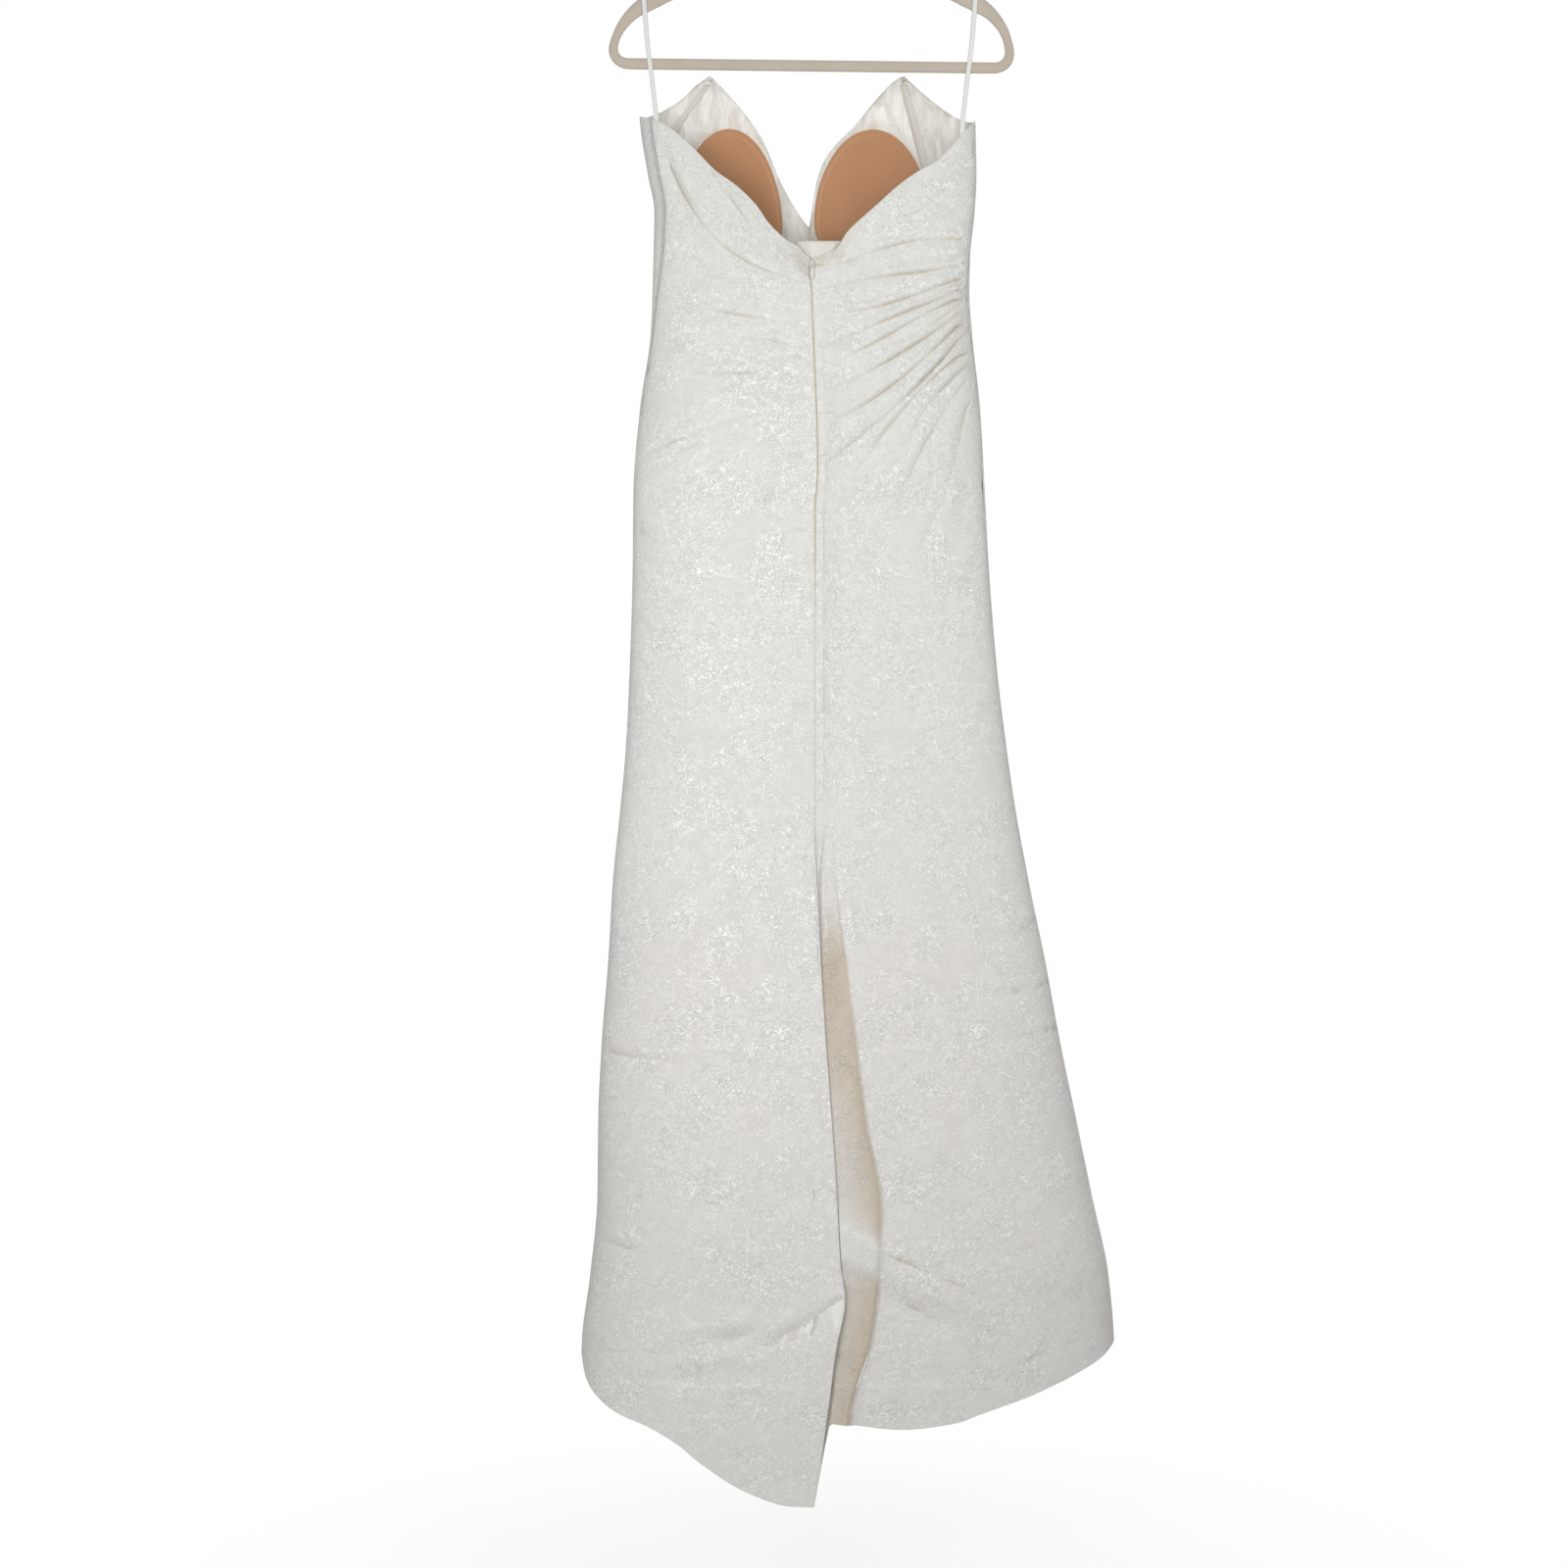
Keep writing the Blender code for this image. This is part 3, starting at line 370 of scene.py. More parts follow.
# %% Creases of the right back
RIGHT_CREASES = table(
    CREASE_COLUMNS,
    [
        (150, 78, 88, 118, 4, 6, 1.6),
        (128, 92, 164, 108, -2, 5, 1.3),
        (172, 132, 26, 165, -6, 3.4, 2.2),
        (171, 150, 70, 166, 2, 3.0, 1.0),
        (171, 162, 2, 194, 0, 3.4, 2.8),
        (170, 173, 14, 220, 9, 3.4, 2.8),
        (171, 179, 96, 214, 1, 2.6, 1.2),
        (170, 185, 0, 260, 3, 3.4, 3.2),
        (170, 196, 10, 282, 0, 3.2, 2.8),
        (170, 202, 60, 268, 4, 2.6, 1.3),
        (170, 208, 2, 308, 11, 3.6, 3.2),
        (171, 222, 2, 352, 9, 4.0, 3.2),
        (172, 234, 2, 393, 9, 4.2, 3.2),
        (172, 240, 74, 330, 4, 3.0, 1.4),
        (176, 256, 44, 410, -14, 4.6, 3.0),
        (178, 268, 100, 370, -8, 4.4, 2.4),
        (172, 286, 70, 478, -6, 6, 2.4),
        (176, 308, 102, 520, 6, 7, 2.0),
        (178, 345, 144, 570, 4, 15, 3.4),
        (34, 212, 4, 206, 1, 3, 1.2),
        (30, 240, 3, 236, 1, 2.6, 1.0),
        (28, 328, 3, 330, 1, 3, 1.2),
        (24, 372, 3, 376, 1, 3, 1.2),
        (30, 436, 4, 440, 1, 3.6, 1.0),
        (182, 470, 168, 590, 0, 9, 0.9),
        (2, 168, 74, 152, 2, 3, 1.7),
        (76, 1238, 196, 1296, -2, 6, 3.0),
        (82, 1284, 168, 1328, 2, 7, 3.4),
        (162, 1092, 138, 1192, 0, 14, 1.6),
        (162, 1092, 182, 1192, 0, 14, 1.6),
        (250, 1350, 220, 1363, 0, 5, 1.6),
        (268, 950, 176, 966, 3, 5, 1.9),
        (280, 1000, 190, 1012, 2, 5, 1.7),
        (262, 876, 204, 903, 2, 6, 1.3),
        (96, 940, 172, 958, 4, 6, 1.3),
    ],
)
print("creases of the right back:", len(RIGHT_CREASES["x0"]))

# %% [markdown]
# The photograph doesn't show the front. The gathers go on over it from the same seam, since the cloth is one
# gathered strip there, and wide rows down the skirt make the long soft folds of cloth that hangs.

# %% Creases of the front
FRONT_CREASES = table(
    CREASE_COLUMNS,
    [
        (172, 150, 40, 190, 5, 4.2, 2.6),
        (172, 162, 70, 206, 3, 3.6, 1.4),
        (171, 172, 20, 236, 7, 4.2, 2.8),
        (171, 184, 84, 238, 5, 3.6, 1.4),
        (172, 196, 12, 290, 8, 4.6, 3.0),
        (172, 208, 60, 300, 9, 4, 1.6),
        (173, 220, 20, 344, 8, 5, 3.0),
        (176, 246, 36, 400, 4, 5.2, 2.8),
        (180, 276, 66, 452, -4, 6, 2.3),
        (-176, 180, -40, 222, 6, 6, 2.2),
        (-182, 330, -60, 300, -6, 6, 2.0),
        (-188, 420, -110, 396, 0, 7, 1.2),
        (-60, 520, 30, 500, 4, 9, 0.8),
        (120, 1240, 40, 1296, 6, 11, 1.6),
        (-120, 1180, -170, 1290, 0, 12, 1.4),
        (-104, 560, -158, 1350, 6, 19, 8.5),
        (-44, 820, -52, 1352, -4, 22, 7.5),
        (36, 640, 82, 1354, 8, 20, 9.0),
        (112, 500, 206, 1352, -10, 17, 8.0),
        (-150, 90, -96, 150, 4, 6, 1.6),
        (150, 70, 96, 128, 5, 5, 1.8),
        (-8, 150, -24, 236, 2, 7, 1.2),
    ],
)
print("creases of the front:", len(FRONT_CREASES["x0"]))

# %% [markdown]
# A crease's profile has three parts: a soft hollow, a sharp line at the bottom of it, and a roll of cloth
# just above. A little waviness along each keeps them from looking ruled, and those that start at the
# gathered seam hook down into it. The sharp line is also kept as a mask from 0 to 1, where shade is painted
# into the colour.

# %% Creases pressed into the cloth
HOLLOW_SHARE, SHARP_SHARE, ROLL_SHARE = 0.54, 0.6, 0.42
SHARP_HALF = 1.1
SOFT_FOLD_WIDTH = 9
SEAM_START_X = 160
HOOK_DOWN, HOOK_LENGTH = 4.5, 16


def crease_relief(x, drop, creases):
    """How far the creases push the cloth, less than 0 being inward, and the mask of painted shade on their
    sharp lines.
    """
    push = np.zeros(np.broadcast(x, drop).shape)
    line = np.zeros_like(push)
    for i in range(len(creases["x0"])):
        along_x = creases["x1"][i] - creases["x0"][i]
        along_drop = creases["drop1"][i] - creases["drop0"][i]
        length, width = math.hypot(along_x, along_drop), creases["width"][i]
        from_x, from_drop = x - creases["x0"][i], drop - creases["drop0"][i]
        part = (from_x * along_x + from_drop * along_drop) / length ** 2
        off = (from_drop * along_x - from_x * along_drop) * math.copysign(1, along_x) / length
        off = off - 4 * creases["sag"][i] * part * (1 - part) + 0.9 * np.sin(8 * part + 2.3 * i)
        if creases["x0"][i] > SEAM_START_X:
            off = off - HOOK_DOWN * np.clip(1 - part * length / HOOK_LENGTH, 0, 1) ** 2
        start = 0.05 if width < SOFT_FOLD_WIDTH else 0.3
        fade = np.clip(part / start, 0, 1) * np.clip((1 - part) / 0.45, 0, 1) ** 0.8
        fade = fade * (0.8 + 0.3 * np.sin(11 * part + 4.1 * i)) * creases["depth"][i]
        hollow = np.exp(-np.where(off < 0, off / (0.8 * width), off / (1.5 * width)) ** 2)
        sharp = np.exp(-(off / SHARP_HALF) ** 2)
        roll = np.exp(-((off + 1.5 * width) / (1.1 * width)) ** 2)
        crisp = np.clip(1.5 - width / 8, 0.1, 1)
        push -= fade * (HOLLOW_SHARE * hollow + SHARP_SHARE * crisp * sharp - ROLL_SHARE * roll)
        line = np.maximum(line, np.abs(fade) / 2.6 * sharp * crisp)
    return push, line


gathers = crease_relief(np.array([60.0]), np.arange(150.0, 420.0)[:, None], RIGHT_CREASES)[0]
print("push of the gathers at x 60 from", np.round(gathers.min(), 1), "to", np.round(gathers.max(), 1), "mm")

# %% [markdown]
# Between the creases lined jacquard is never quite flat. Smooth random fields of four sizes give it broad
# waves and small crumples. The fields come from a fixed seed, so the dress is the same on every run.

# %% Waves and crumples
def ripple(x, drop, size, seed):
    """Smooth uneven field between -1 and 1, with hills about as wide as size."""
    grid = np.random.RandomState(seed).uniform(-1, 1, (64, 64))
    u, v = x / size + 1000, drop / size + 1000
    i, j = np.floor(u).astype(int), np.floor(v).astype(int)
    fu, fv = u - i, v - j
    fu, fv = fu * fu * (3 - 2 * fu), fv * fv * (3 - 2 * fv)
    i, j = i % 63, j % 63
    near = grid[i, j] * (1 - fu) + grid[i + 1, j] * fu
    far = grid[i, j + 1] * (1 - fu) + grid[i + 1, j + 1] * fu
    return near * (1 - fv) + far * fv


def cloth_relief(x, drop, creases, seed):
    """Creases with the broad waves and small crumples of lined jacquard; gives the push and the painted-shade
    mask.
    """
    push, line = crease_relief(x, drop, creases)
    gathered = np.exp(-((drop - 250) / 190.0) ** 2)
    broad = 0.9 * ripple(x, drop * 0.55, 95, seed) + 0.4 * ripple(x, drop, 42, seed + 1)
    crumple = (0.28 + 0.30 * gathered) * ripple(x * 0.8, drop * 1.3, 21, seed + 2)
    small = (0.10 + 0.14 * gathered) * ripple(x, drop * 1.2, 8, seed + 3)
    return push + broad * 0.8 + crumple + small - 0.6, line


print("wave at the middle of the back:", np.round(ripple(np.array([0.0]), np.array([600.0]), 95, 11), 2))

# %% [markdown]
# Every panel is first a grid of points with the outward direction of each, the same for its outside and its
# inside. The two back panels have a plain face and their share of the fold. A place on a face is a "part":
# 0 at the side seam and 1 at the fold, so the columns spread over the cloth however wide it is at a drop.

# %% Places on the back faces
FACE_SHARE = 0.75


def seam_turn(side, drop):
    """Turn of a side seam, which lies a little on the back."""
    turn = np.radians(read(SEAM, side, drop))
    return turn if side == "left" else math.pi - turn


def wedge_edges(drop):
    """Where the under layer leaves the fold, and where it meets the right panel."""
    leave_x = read(FOLD, "start", drop) + fold_walk(drop, ALL_STEPS)[0]
    return leave_x, np.maximum(read(FOLD, "valley", drop), leave_x + 12)


def face_turn(side, drop, part):
    """Turn on a back panel's plain face; part 0 is at the side seam and 1 at the fold."""
    seam = seam_turn(side, drop)
    if side == "left":
        return seam + (turn_at(read(FOLD, "start", drop), drop) - seam) * part
    leave, valley = (turn_at(x, drop) for x in wedge_edges(drop))
    in_face = np.clip(part / FACE_SHARE, 0, 1)
    in_wedge = 1 - np.clip((1 - part) / (1 - FACE_SHARE), 0, 1) ** 1.7
    return seam + (valley - seam) * in_face + (leave - valley) * in_wedge


print("under layer at drop 1200 from x", *np.round(wedge_edges(1200.0), 1))

# %% [markdown]
# Three finer forms lie on the back: the little puckers of the gathered band beside the zip's top, the fine
# streaks that run with the gathers, and one soft fold of the train that crosses the shaded wedge.

# %% Puckers, streaks and the train's soft fold
PUCKER_DEPTH, STREAK_DEPTH = 0.45, 0.42
BAND_FIRST_X, BAND_LAST_X, BAND_DROP = 4, 36, 161
RIDGE_X, RIDGE_DROP, RIDGE_SLOPE = 31, 1225, 0.52


def band_puckers(x, drop):
    """Little upright puckers where the band is gathered beside the zip's top."""
    inside = np.clip((x - BAND_FIRST_X) / 3, 0, 1) * np.clip((BAND_LAST_X - x) / 6, 0, 1)
    by_edge = np.exp(-((drop - BAND_DROP + 0.25 * (x - BAND_FIRST_X)) / 6) ** 2)
    return PUCKER_DEPTH * np.sin(x * 1.45 + 0.5 * np.sin(x / 5)) * inside * by_edge


def gather_streaks(side, drop, parts):
    """Fine folds that run with the rows, strongest at the gathered seam; rows fan out from it as they do."""
    row = np.arange(len(drop))[:, None]
    fine = ripple(row * 1.0, parts * 60, 9.0, 71) + 0.8 * ripple(row * 1.0, parts * 90 + 40, 4.6, 72)
    by_seam = np.exp(-(parts / 0.42) ** 2) if side == "right" else 0.25 + 0 * parts
    height = np.clip((drop - 120) / 40, 0, 1) * np.clip((430 - drop) / 150, 0, 1)
    return STREAK_DEPTH * fine * by_seam * height


def train_ridge(x, drop):
    """Soft fold of the train that crosses the wedge from the fold's edge down to the right, from 0 to 1."""
    centre, half = RIDGE_DROP + RIDGE_SLOPE * (x - RIDGE_X), np.clip(34 - 0.13 * (x - RIDGE_X), 8, 36)
    away = (drop - centre) / half
    return np.clip((200 - x) / 90, 0, 1) / (1 + np.abs(1.25 * away) ** 5)


print("soft fold of the train at x 80:", np.round(train_ridge(80.0, np.array([1200.0, 1250.0])), 2))

# %% [markdown]
# The right panel meets the fold from below. Its face therefore dips under the fold's edge, and shade is
# painted into its colour there, as little light gets in; a little warm shade is painted into the gathers too.
# The seam between the two panels runs half way along the fold's hidden stretch, where a dressmaker would also
# put it.

# %% Grids of the back panels
RIDGE_PUSH = 5.5
DIP_TOP, DIP_GROWS = 810, 180
SHADE_TOP, SHADE_GROWS = 850, 80
GATHER_DROP, GATHER_SPREAD, GATHER_WARM_SHADE = 235, 85, 0.24


def dipped(x, y, drop):
    """Lets the right panel dip under the fold; gives Y, and how far across the wedge each point is."""
    start = read(FOLD, "start", drop)
    leave_x, valley = wedge_edges(drop)
    leave_y = body_point(turn_at(start, drop), drop, "back_left")[1] + fold_walk(drop, ALL_STEPS)[1]
    sunk = leave_y - body_point(turn_at(leave_x, drop), drop, "back_right")[1]
    across = np.clip((x - leave_x) / (valley - leave_x), 0, 1)
    grown = np.clip((drop - DIP_TOP) / DIP_GROWS, 0, 1)
    rising = np.clip(1 - across / 0.25, 0, 1) ** 2
    depth = rising + (read(UNDER_LAYER, "depth", across, along="across") - rising) * grown
    return y + sunk * depth, across


def wedge_painted_shade(drop, parts, across, ridge):
    """Painted shade of the right panel: in the wedge, and a little warm shade in the gathers."""
    shade = read(FOLD, "shade", drop)
    fading = np.clip((1.06 - across) / 0.12, 0, 1)
    shaded = np.clip((drop - SHADE_TOP) / SHADE_GROWS, 0, 1)
    shade = shaded * fading * (across < 1) * (shade + (1 - shade) * across ** 1.2)
    # Painted warm shade in the gathers beside the side seam.
    gather_shade = GATHER_WARM_SHADE * np.exp(-((drop - GATHER_DROP) / GATHER_SPREAD) ** 2 - (parts / 0.5) ** 2)
    return np.maximum(gather_shade, shade * (1 - 0.85 * ridge))


def face_grid(side, parts):
    """Grid of a back panel's plain face: rows go down, columns go along parts."""
    back, creases = "back_" + side, LEFT_CREASES if side == "left" else RIGHT_CREASES

    def place(drop):
        return face_turn(side, drop, parts)

    top = edge_drop(BACK_NECK, place, back, np.full(len(parts), 60.0))
    hem = edge_drop(BACK_HEM, place, back, np.full(len(parts), 1400.0))
    levels = [a + (b - a) * parts for a, b in zip(LEVELS[side], LEVELS["middle"])]
    drop = level_rows(top, levels, hem)
    turn = face_turn(side, drop, parts)
    x, y = body_point(turn, drop, back)
    nx, ny = body_normal(turn, drop, back)
    push, line = cloth_relief(x, drop, creases, 11)
    if side == "right":
        ridge = train_ridge(x, drop)
        y, across = dipped(x, y, drop)
        push, line = push + RIDGE_PUSH * ridge, np.maximum(line, wedge_painted_shade(drop, parts, across, ridge))
    push = push + gather_streaks(side, drop, parts) + band_puckers(x, drop)
    return np.stack([x, y, drop, nx, ny, push, line], axis=-1)


def fold_grid(side, stations):
    """Grid of the fold's walk between two stations."""
    creases = LEFT_CREASES if side == "left" else RIGHT_CREASES
    walk_x = fold_walk(200.0, stations)[0]
    top = read(BACK_NECK, "drop", read(FOLD, "start", 160.0) + walk_x, along="x")
    levels = [np.full(len(stations), level) for level in LEVELS["middle"]]
    drop = level_rows(top, levels, fold_hem(stations))
    walk_x, walk_y, facing = fold_walk(drop, stations)
    start = read(FOLD, "start", drop)
    x = start + walk_x
    y = body_point(turn_at(start, drop), drop, "back_left")[1] + walk_y
    flat = 1 - np.minimum(1, read(FOLD, "turned", drop) / 0.5)
    outside = cloth_relief(start, drop, creases, 11)[0] * np.clip(1 - stations / TURN_STEPS, 0, 1)
    push, line = cloth_relief(x, drop, creases, 11)
    push = flat * push + (1 - flat) * outside
    return np.stack([x, y, drop, np.sin(facing), -np.cos(facing), push, line * flat], axis=-1)


print("rows and columns of the fold's left half:", fold_grid("left", np.arange(SEAM_STEP + 1)).shape[:2])

# %% [markdown]
# The front is one panel from side seam to side seam. Its side edges lie a little on the back, so its grid
# has a few parts below 0 and above 1. Its neck is the deep V with the two peaks, and its hem is plain.

# %% Grid of the front panel
FRONT_COLUMNS = 120


def front_turn(drop, part):
    """Turn on the front: parts below 0 and above 1 lie on the back, outside the side edges."""
    left = -part * np.radians(read(SEAM, "left", drop))
    right = -math.pi - (part - 1) * np.radians(read(SEAM, "right", drop))
    return np.where(part < 0, left, np.where(part > 1, right, -math.pi * part))


def front_grid():
    """Grid of the front panel, from the left side seam round to the right one."""
    around = 0.5 - 0.5 * np.cos(math.pi * np.linspace(0, 1, FRONT_COLUMNS))
    around = 0.75 * np.linspace(0, 1, FRONT_COLUMNS) + 0.25 * around
    parts = np.concatenate([[-1, -0.75, -0.5, -0.25], around, [1.25, 1.5, 1.75, 2]])
    on_back = (parts < 0) | (parts > 1)

    def place(drop):
        return front_turn(drop, parts)

    start = np.zeros(len(parts))
    top = np.where(on_back, edge_drop(BACK_NECK, place, "back_left", start),
                   edge_drop(FRONT_NECK, place, "back_left", start))
    inside = np.clip(parts, 0, 1)
    hem = np.where(on_back, edge_drop(BACK_HEM, place, "back_left", start + 1350),
                   1361 - 14 * inside + 12 * np.sin(math.pi * inside))
    levels = [a + (b - a) * inside for a, b in zip(LEVELS["left"], LEVELS["right"])]
    drop = level_rows(top, levels, hem)
    turn = front_turn(drop, parts)
    left_half = parts < 0.5
    x, y = (np.where(left_half, a, b) for a, b in zip(body_point(turn, drop, "back_left"),
                                                      body_point(turn, drop, "back_right")))
    nx, ny = (np.where(left_half, a, b) for a, b in zip(body_normal(turn, drop, "back_left"),
                                                        body_normal(turn, drop, "back_right")))
    edge = np.clip(np.minimum(inside, 1 - inside) / 0.04, 0, 1)
    push, line = cloth_relief(x, drop, FRONT_CREASES, 31)
    push = push + gather_streaks("right", drop, 1 - inside) * 0.8
    return np.stack([x, y, drop, nx, ny, push * edge, line * edge], axis=-1)


front = front_grid()
print("rows and columns of the front:", front.shape[:2])

# %% [markdown]
# Stitching draws cloth in, so a seam shows as a fine groove between two soft lips. The panels' edges are
# sunk there, set apart by a hair so that they never share a point, and crowded with columns to show it.

# %% Seams between the panels
LEFT_FACE_COLUMNS = 96
RIGHT_FACE_COLUMNS = 104
SEAM_GAP = 0.06
SEAM_DEPTH, SEAM_HALF = 0.6, 1.6
ZIP_LOW, ZIP_FADE = 570, 110
FOLD_STARTS = 800


def step_in(grid, column, toward):
    """Moves one edge column by the seam's gap toward its neighbour."""
    step = grid[:, toward, :3] - grid[:, column, :3]
    length = np.maximum(np.linalg.norm(step, axis=1, keepdims=True), 0.3)
    grid[:, column, :3] += SEAM_GAP * step / length


def sink_seams(grid, zip_side):
    """Draws the cloth in where it is stitched at both side edges, and paints shade along the zip's line,
    fading out.
    """
    step = np.linalg.norm(np.diff(grid[..., :2], axis=1), axis=2)
    from_first = np.concatenate([np.zeros((len(grid), 1)), np.cumsum(step, axis=1)], axis=1)
    from_last = from_first[:, -1:] - from_first
    stitched = np.exp(-(from_first / SEAM_HALF) ** 2) + np.exp(-(from_last / SEAM_HALF) ** 2)
    grid[..., 5] -= SEAM_DEPTH * stitched
    # Along the zip's groove, shade is painted into the line mask on both panels.
    by_zip = np.clip((ZIP_LOW - grid[..., 2]) / ZIP_FADE, 0, 1)
    if zip_side == "last":
        strong = (0.35 + 0.65 * by_zip) * (grid[..., 2] < FOLD_STARTS)
        grid[..., 6] = np.maximum(grid[..., 6], strong * np.exp(-(from_last / 1.45) ** 2))
        grid[..., 5] -= 0.5 * strong * np.exp(-(from_last / 1.5) ** 2)
    if zip_side == "first":
        lap = np.exp(-((from_first - 1.9) / 1.5) ** 2)
        grid[..., 6] = np.maximum(grid[..., 6], 0.5 * by_zip * np.exp(-(from_first / 1.2) ** 2))
        grid[..., 5] += 0.35 * lap * (grid[..., 2] < FOLD_STARTS)


def face_parts(count):
    """Parts of a face, crowded at the side seam where the stitching draws the cloth in."""
    return np.concatenate([[0, 0.003, 0.007, 0.012, 0.019], np.linspace(0.028, 1, count)])


left_grid = np.concatenate([
    face_grid("left", face_parts(LEFT_FACE_COLUMNS)[:-1]),
    fold_grid("left", np.arange(SEAM_STEP + 1)),
], axis=1)
right_grid = np.concatenate([
    fold_grid("right", np.arange(SEAM_STEP, ALL_STEPS + 1)),
    face_grid("right", face_parts(RIGHT_FACE_COLUMNS)[-2::-1]),
], axis=1)
for grid, zip_side in ((left_grid, "last"), (right_grid, "first"), (front, "none")):
    sink_seams(grid, zip_side)
step_in(right_grid, 0, 1)
step_in(front, 0, 1)
step_in(front, -1, -2)
print("grids of the back:", left_grid.shape[:2], "left and", right_grid.shape[:2], "right")

# %% [markdown]
# A sheet of cloth in Blender can be a flat mesh with a Solidify modifier. Here both skins are made in code
# instead: the wall then tapers to a soft rolled edge at the neck and the hem, and the lined inside can
# carry its own material. The inner skin has fewer rows, and each takes the lowest push near it, so that it
# never cuts through a crease of the outer one. The UV map is in metres along the cloth, so a weave has the
# same scale everywhere.

# %% Meshes from grids
ROLL = 0.6


def skin(grid, inward, rolled):
    """Points of one skin in metres; rolled is +1 for an outer and -1 for an inner skin."""
    x, y, drop, nx, ny, push = np.moveaxis(grid, -1, 0)[:6]
    from_edge = np.minimum(drop - drop[:1], drop[-1:] - drop)
    part = np.clip(1 - from_edge / ROLL, 0, 1)
    away = push - inward - rolled * ROLL * (1 - np.sqrt(1 - part ** 2))
    return np.stack([x + nx * away, y + ny * away, UNDERARM_Z - drop], axis=-1) * MM


def grid_quads(rows, columns, first, flip):
    """Four-sided faces of a grid whose rows go down and whose columns run right."""
    top_left = first + (np.arange(rows - 1)[:, None] * columns + np.arange(columns - 1)).ravel()
    quads = np.stack([top_left, top_left + columns, top_left + columns + 1, top_left + 1], axis=1)
    return quads[:, ::-1] if flip else quads


def thinned(count, step, kept=8, also=()):
    """Places along a side, every few, with all of those beside both ends and any others asked for."""
    middle = np.arange(kept, count - kept, step)
    places = np.concatenate([np.arange(kept), middle, np.arange(count - kept, count), also])
    return np.unique(places.astype(int))


def edge_loop(index):
    """Ids round a grid's edge, starting at its first corner."""
    return np.concatenate([index[0, :-1], index[:-1, -1], index[-1, :0:-1], index[:0:-1, 0]])


def rim_faces(outer_index, inner_index, row_places, column_places):
    """Faces that close the edge; each spans one inner edge and the outer edges beside it."""
    outer_ring = edge_loop(outer_index).tolist()
    matching = edge_loop(outer_index[np.ix_(row_places, column_places)])
    inner_ring = edge_loop(inner_index).tolist()
    stops = [outer_ring.index(i) for i in matching] + [len(outer_ring)]
    outer_ring.append(outer_ring[0])
    inner_ring.append(inner_ring[0])
    faces = []
    for k, (first, last) in enumerate(zip(stops[:-1], stops[1:])):
        faces.append(outer_ring[first:last + 1][::-1] + [inner_ring[k], inner_ring[k + 1]])
    return faces


print("places kept along a side of 100:", len(thinned(100, 5)))

# %% [markdown]
# A mesh object is made straight from lists of points and faces. Its materials, its smooth shading and its
# UV map are set in the same place, and any further number for each point is stored as an attribute.

# %% Pieces of cloth
def add_mesh(name, points, faces, looks, slots=None, uv=None):
    """One smooth object from arrays of points and faces."""
    mesh = bpy.data.meshes.new(name)
    mesh.from_pydata(np.asarray(points).tolist(), [], [[int(i) for i in face] for face in faces])
    for look in looks:
        mesh.materials.append(look)
    if slots is not None:
        mesh.polygons.foreach_set("material_index", np.asarray(slots, dtype=np.int32))
    mesh.polygons.foreach_set("use_smooth", np.ones(len(faces), dtype=bool))
    if uv is not None:
        corners = np.zeros(len(mesh.loops), dtype=np.int32)
        mesh.loops.foreach_get("vertex_index", corners)
        layer = mesh.uv_layers.new(name="cloth")
        layer.data.foreach_set("uv", np.asarray(uv)[corners].ravel())
    mesh.update()
    piece = bpy.data.objects.new(name, mesh)
    bpy.context.scene.collection.objects.link(piece)
    return piece


def sunken(grid, reach):
    """Grid with each push the lowest of a few rows, so a coarse inner skin stays behind the outer one."""
    low = grid.copy()
    for shift in range(1, reach + 1):
        low[shift:, :, 5] = np.minimum(low[shift:, :, 5], grid[:-shift, :, 5])
        low[:-shift, :, 5] = np.minimum(low[:-shift, :, 5], grid[shift:, :, 5])
    return low


def point_values(piece, name, values):
    """Stores one number for each point of a piece, for a material to read."""
    store = piece.data.attributes.new(name, "FLOAT", "POINT")
    store.data.foreach_set("value", np.asarray(values, dtype=np.float32))


def cloth_piece(name, grid, wall, outside, inside, inward=0.0, tint_inside=0.0):
    """Closed wall between a fine outer skin and a coarser inner one, with its line mask stored: painted shade
    on the face, the tan halo on a lining.
    """
    rows, columns = grid.shape[:2]
    steep = np.flatnonzero(np.abs(np.gradient(grid[0, :, 2])) > 5)
    row_places, column_places = thinned(rows, 5), thinned(columns, 3, also=steep)
    outer = skin(grid, inward, 1)
    inner = skin(sunken(grid, 4), inward + wall, -1)[np.ix_(row_places, column_places)]
    outer_index = np.arange(rows * columns).reshape(rows, columns)
    inner_index = rows * columns + np.arange(inner[..., 0].size).reshape(inner.shape[:2])
    rim = rim_faces(outer_index, inner_index, row_places, column_places)
    outer_quads = grid_quads(rows, columns, 0, False).tolist()
    inner_quads = grid_quads(*inner.shape[:2], rows * columns, True).tolist()
    slots = [0] * len(outer_quads) + [1] * len(inner_quads) + [0] * len(rim)
    along = np.linalg.norm(np.diff(outer, axis=1), axis=2)
    u = np.concatenate([np.zeros((rows, 1)), np.cumsum(along, axis=1)], axis=1)
    uv = np.stack([u, -grid[..., 2] * MM], axis=-1)
    both = [uv.reshape(-1, 2), uv[np.ix_(row_places, column_places)].reshape(-1, 2)]
    points = np.concatenate([outer.reshape(-1, 3), inner.reshape(-1, 3)])
    piece = add_mesh(name, points, outer_quads + inner_quads + rim, [outside, inside], slots,
                     np.concatenate(both))
    # The line mask becomes the point attribute of painted shade (and of the halo on the linings).
    inner_line = tint_inside * grid[..., 6][np.ix_(row_places, column_places)]
    point_values(piece, "painted_shade_and_halo", np.clip(np.concatenate([grid[..., 6].ravel(), inner_line.ravel()]), 0, 1))
    print(name, "has", 2 * (len(outer_quads) + len(inner_quads)), "triangles and more at its rim")
    return piece


# %% [markdown]
# Blender's Principled shader takes a constant colour and roughness on its own sockets. Anything that varies
# over the surface comes from texture nodes linked into it. Nodes can be placed and linked by hand in the
# shader editor; in a script a few small helpers keep each material as short as its idea.

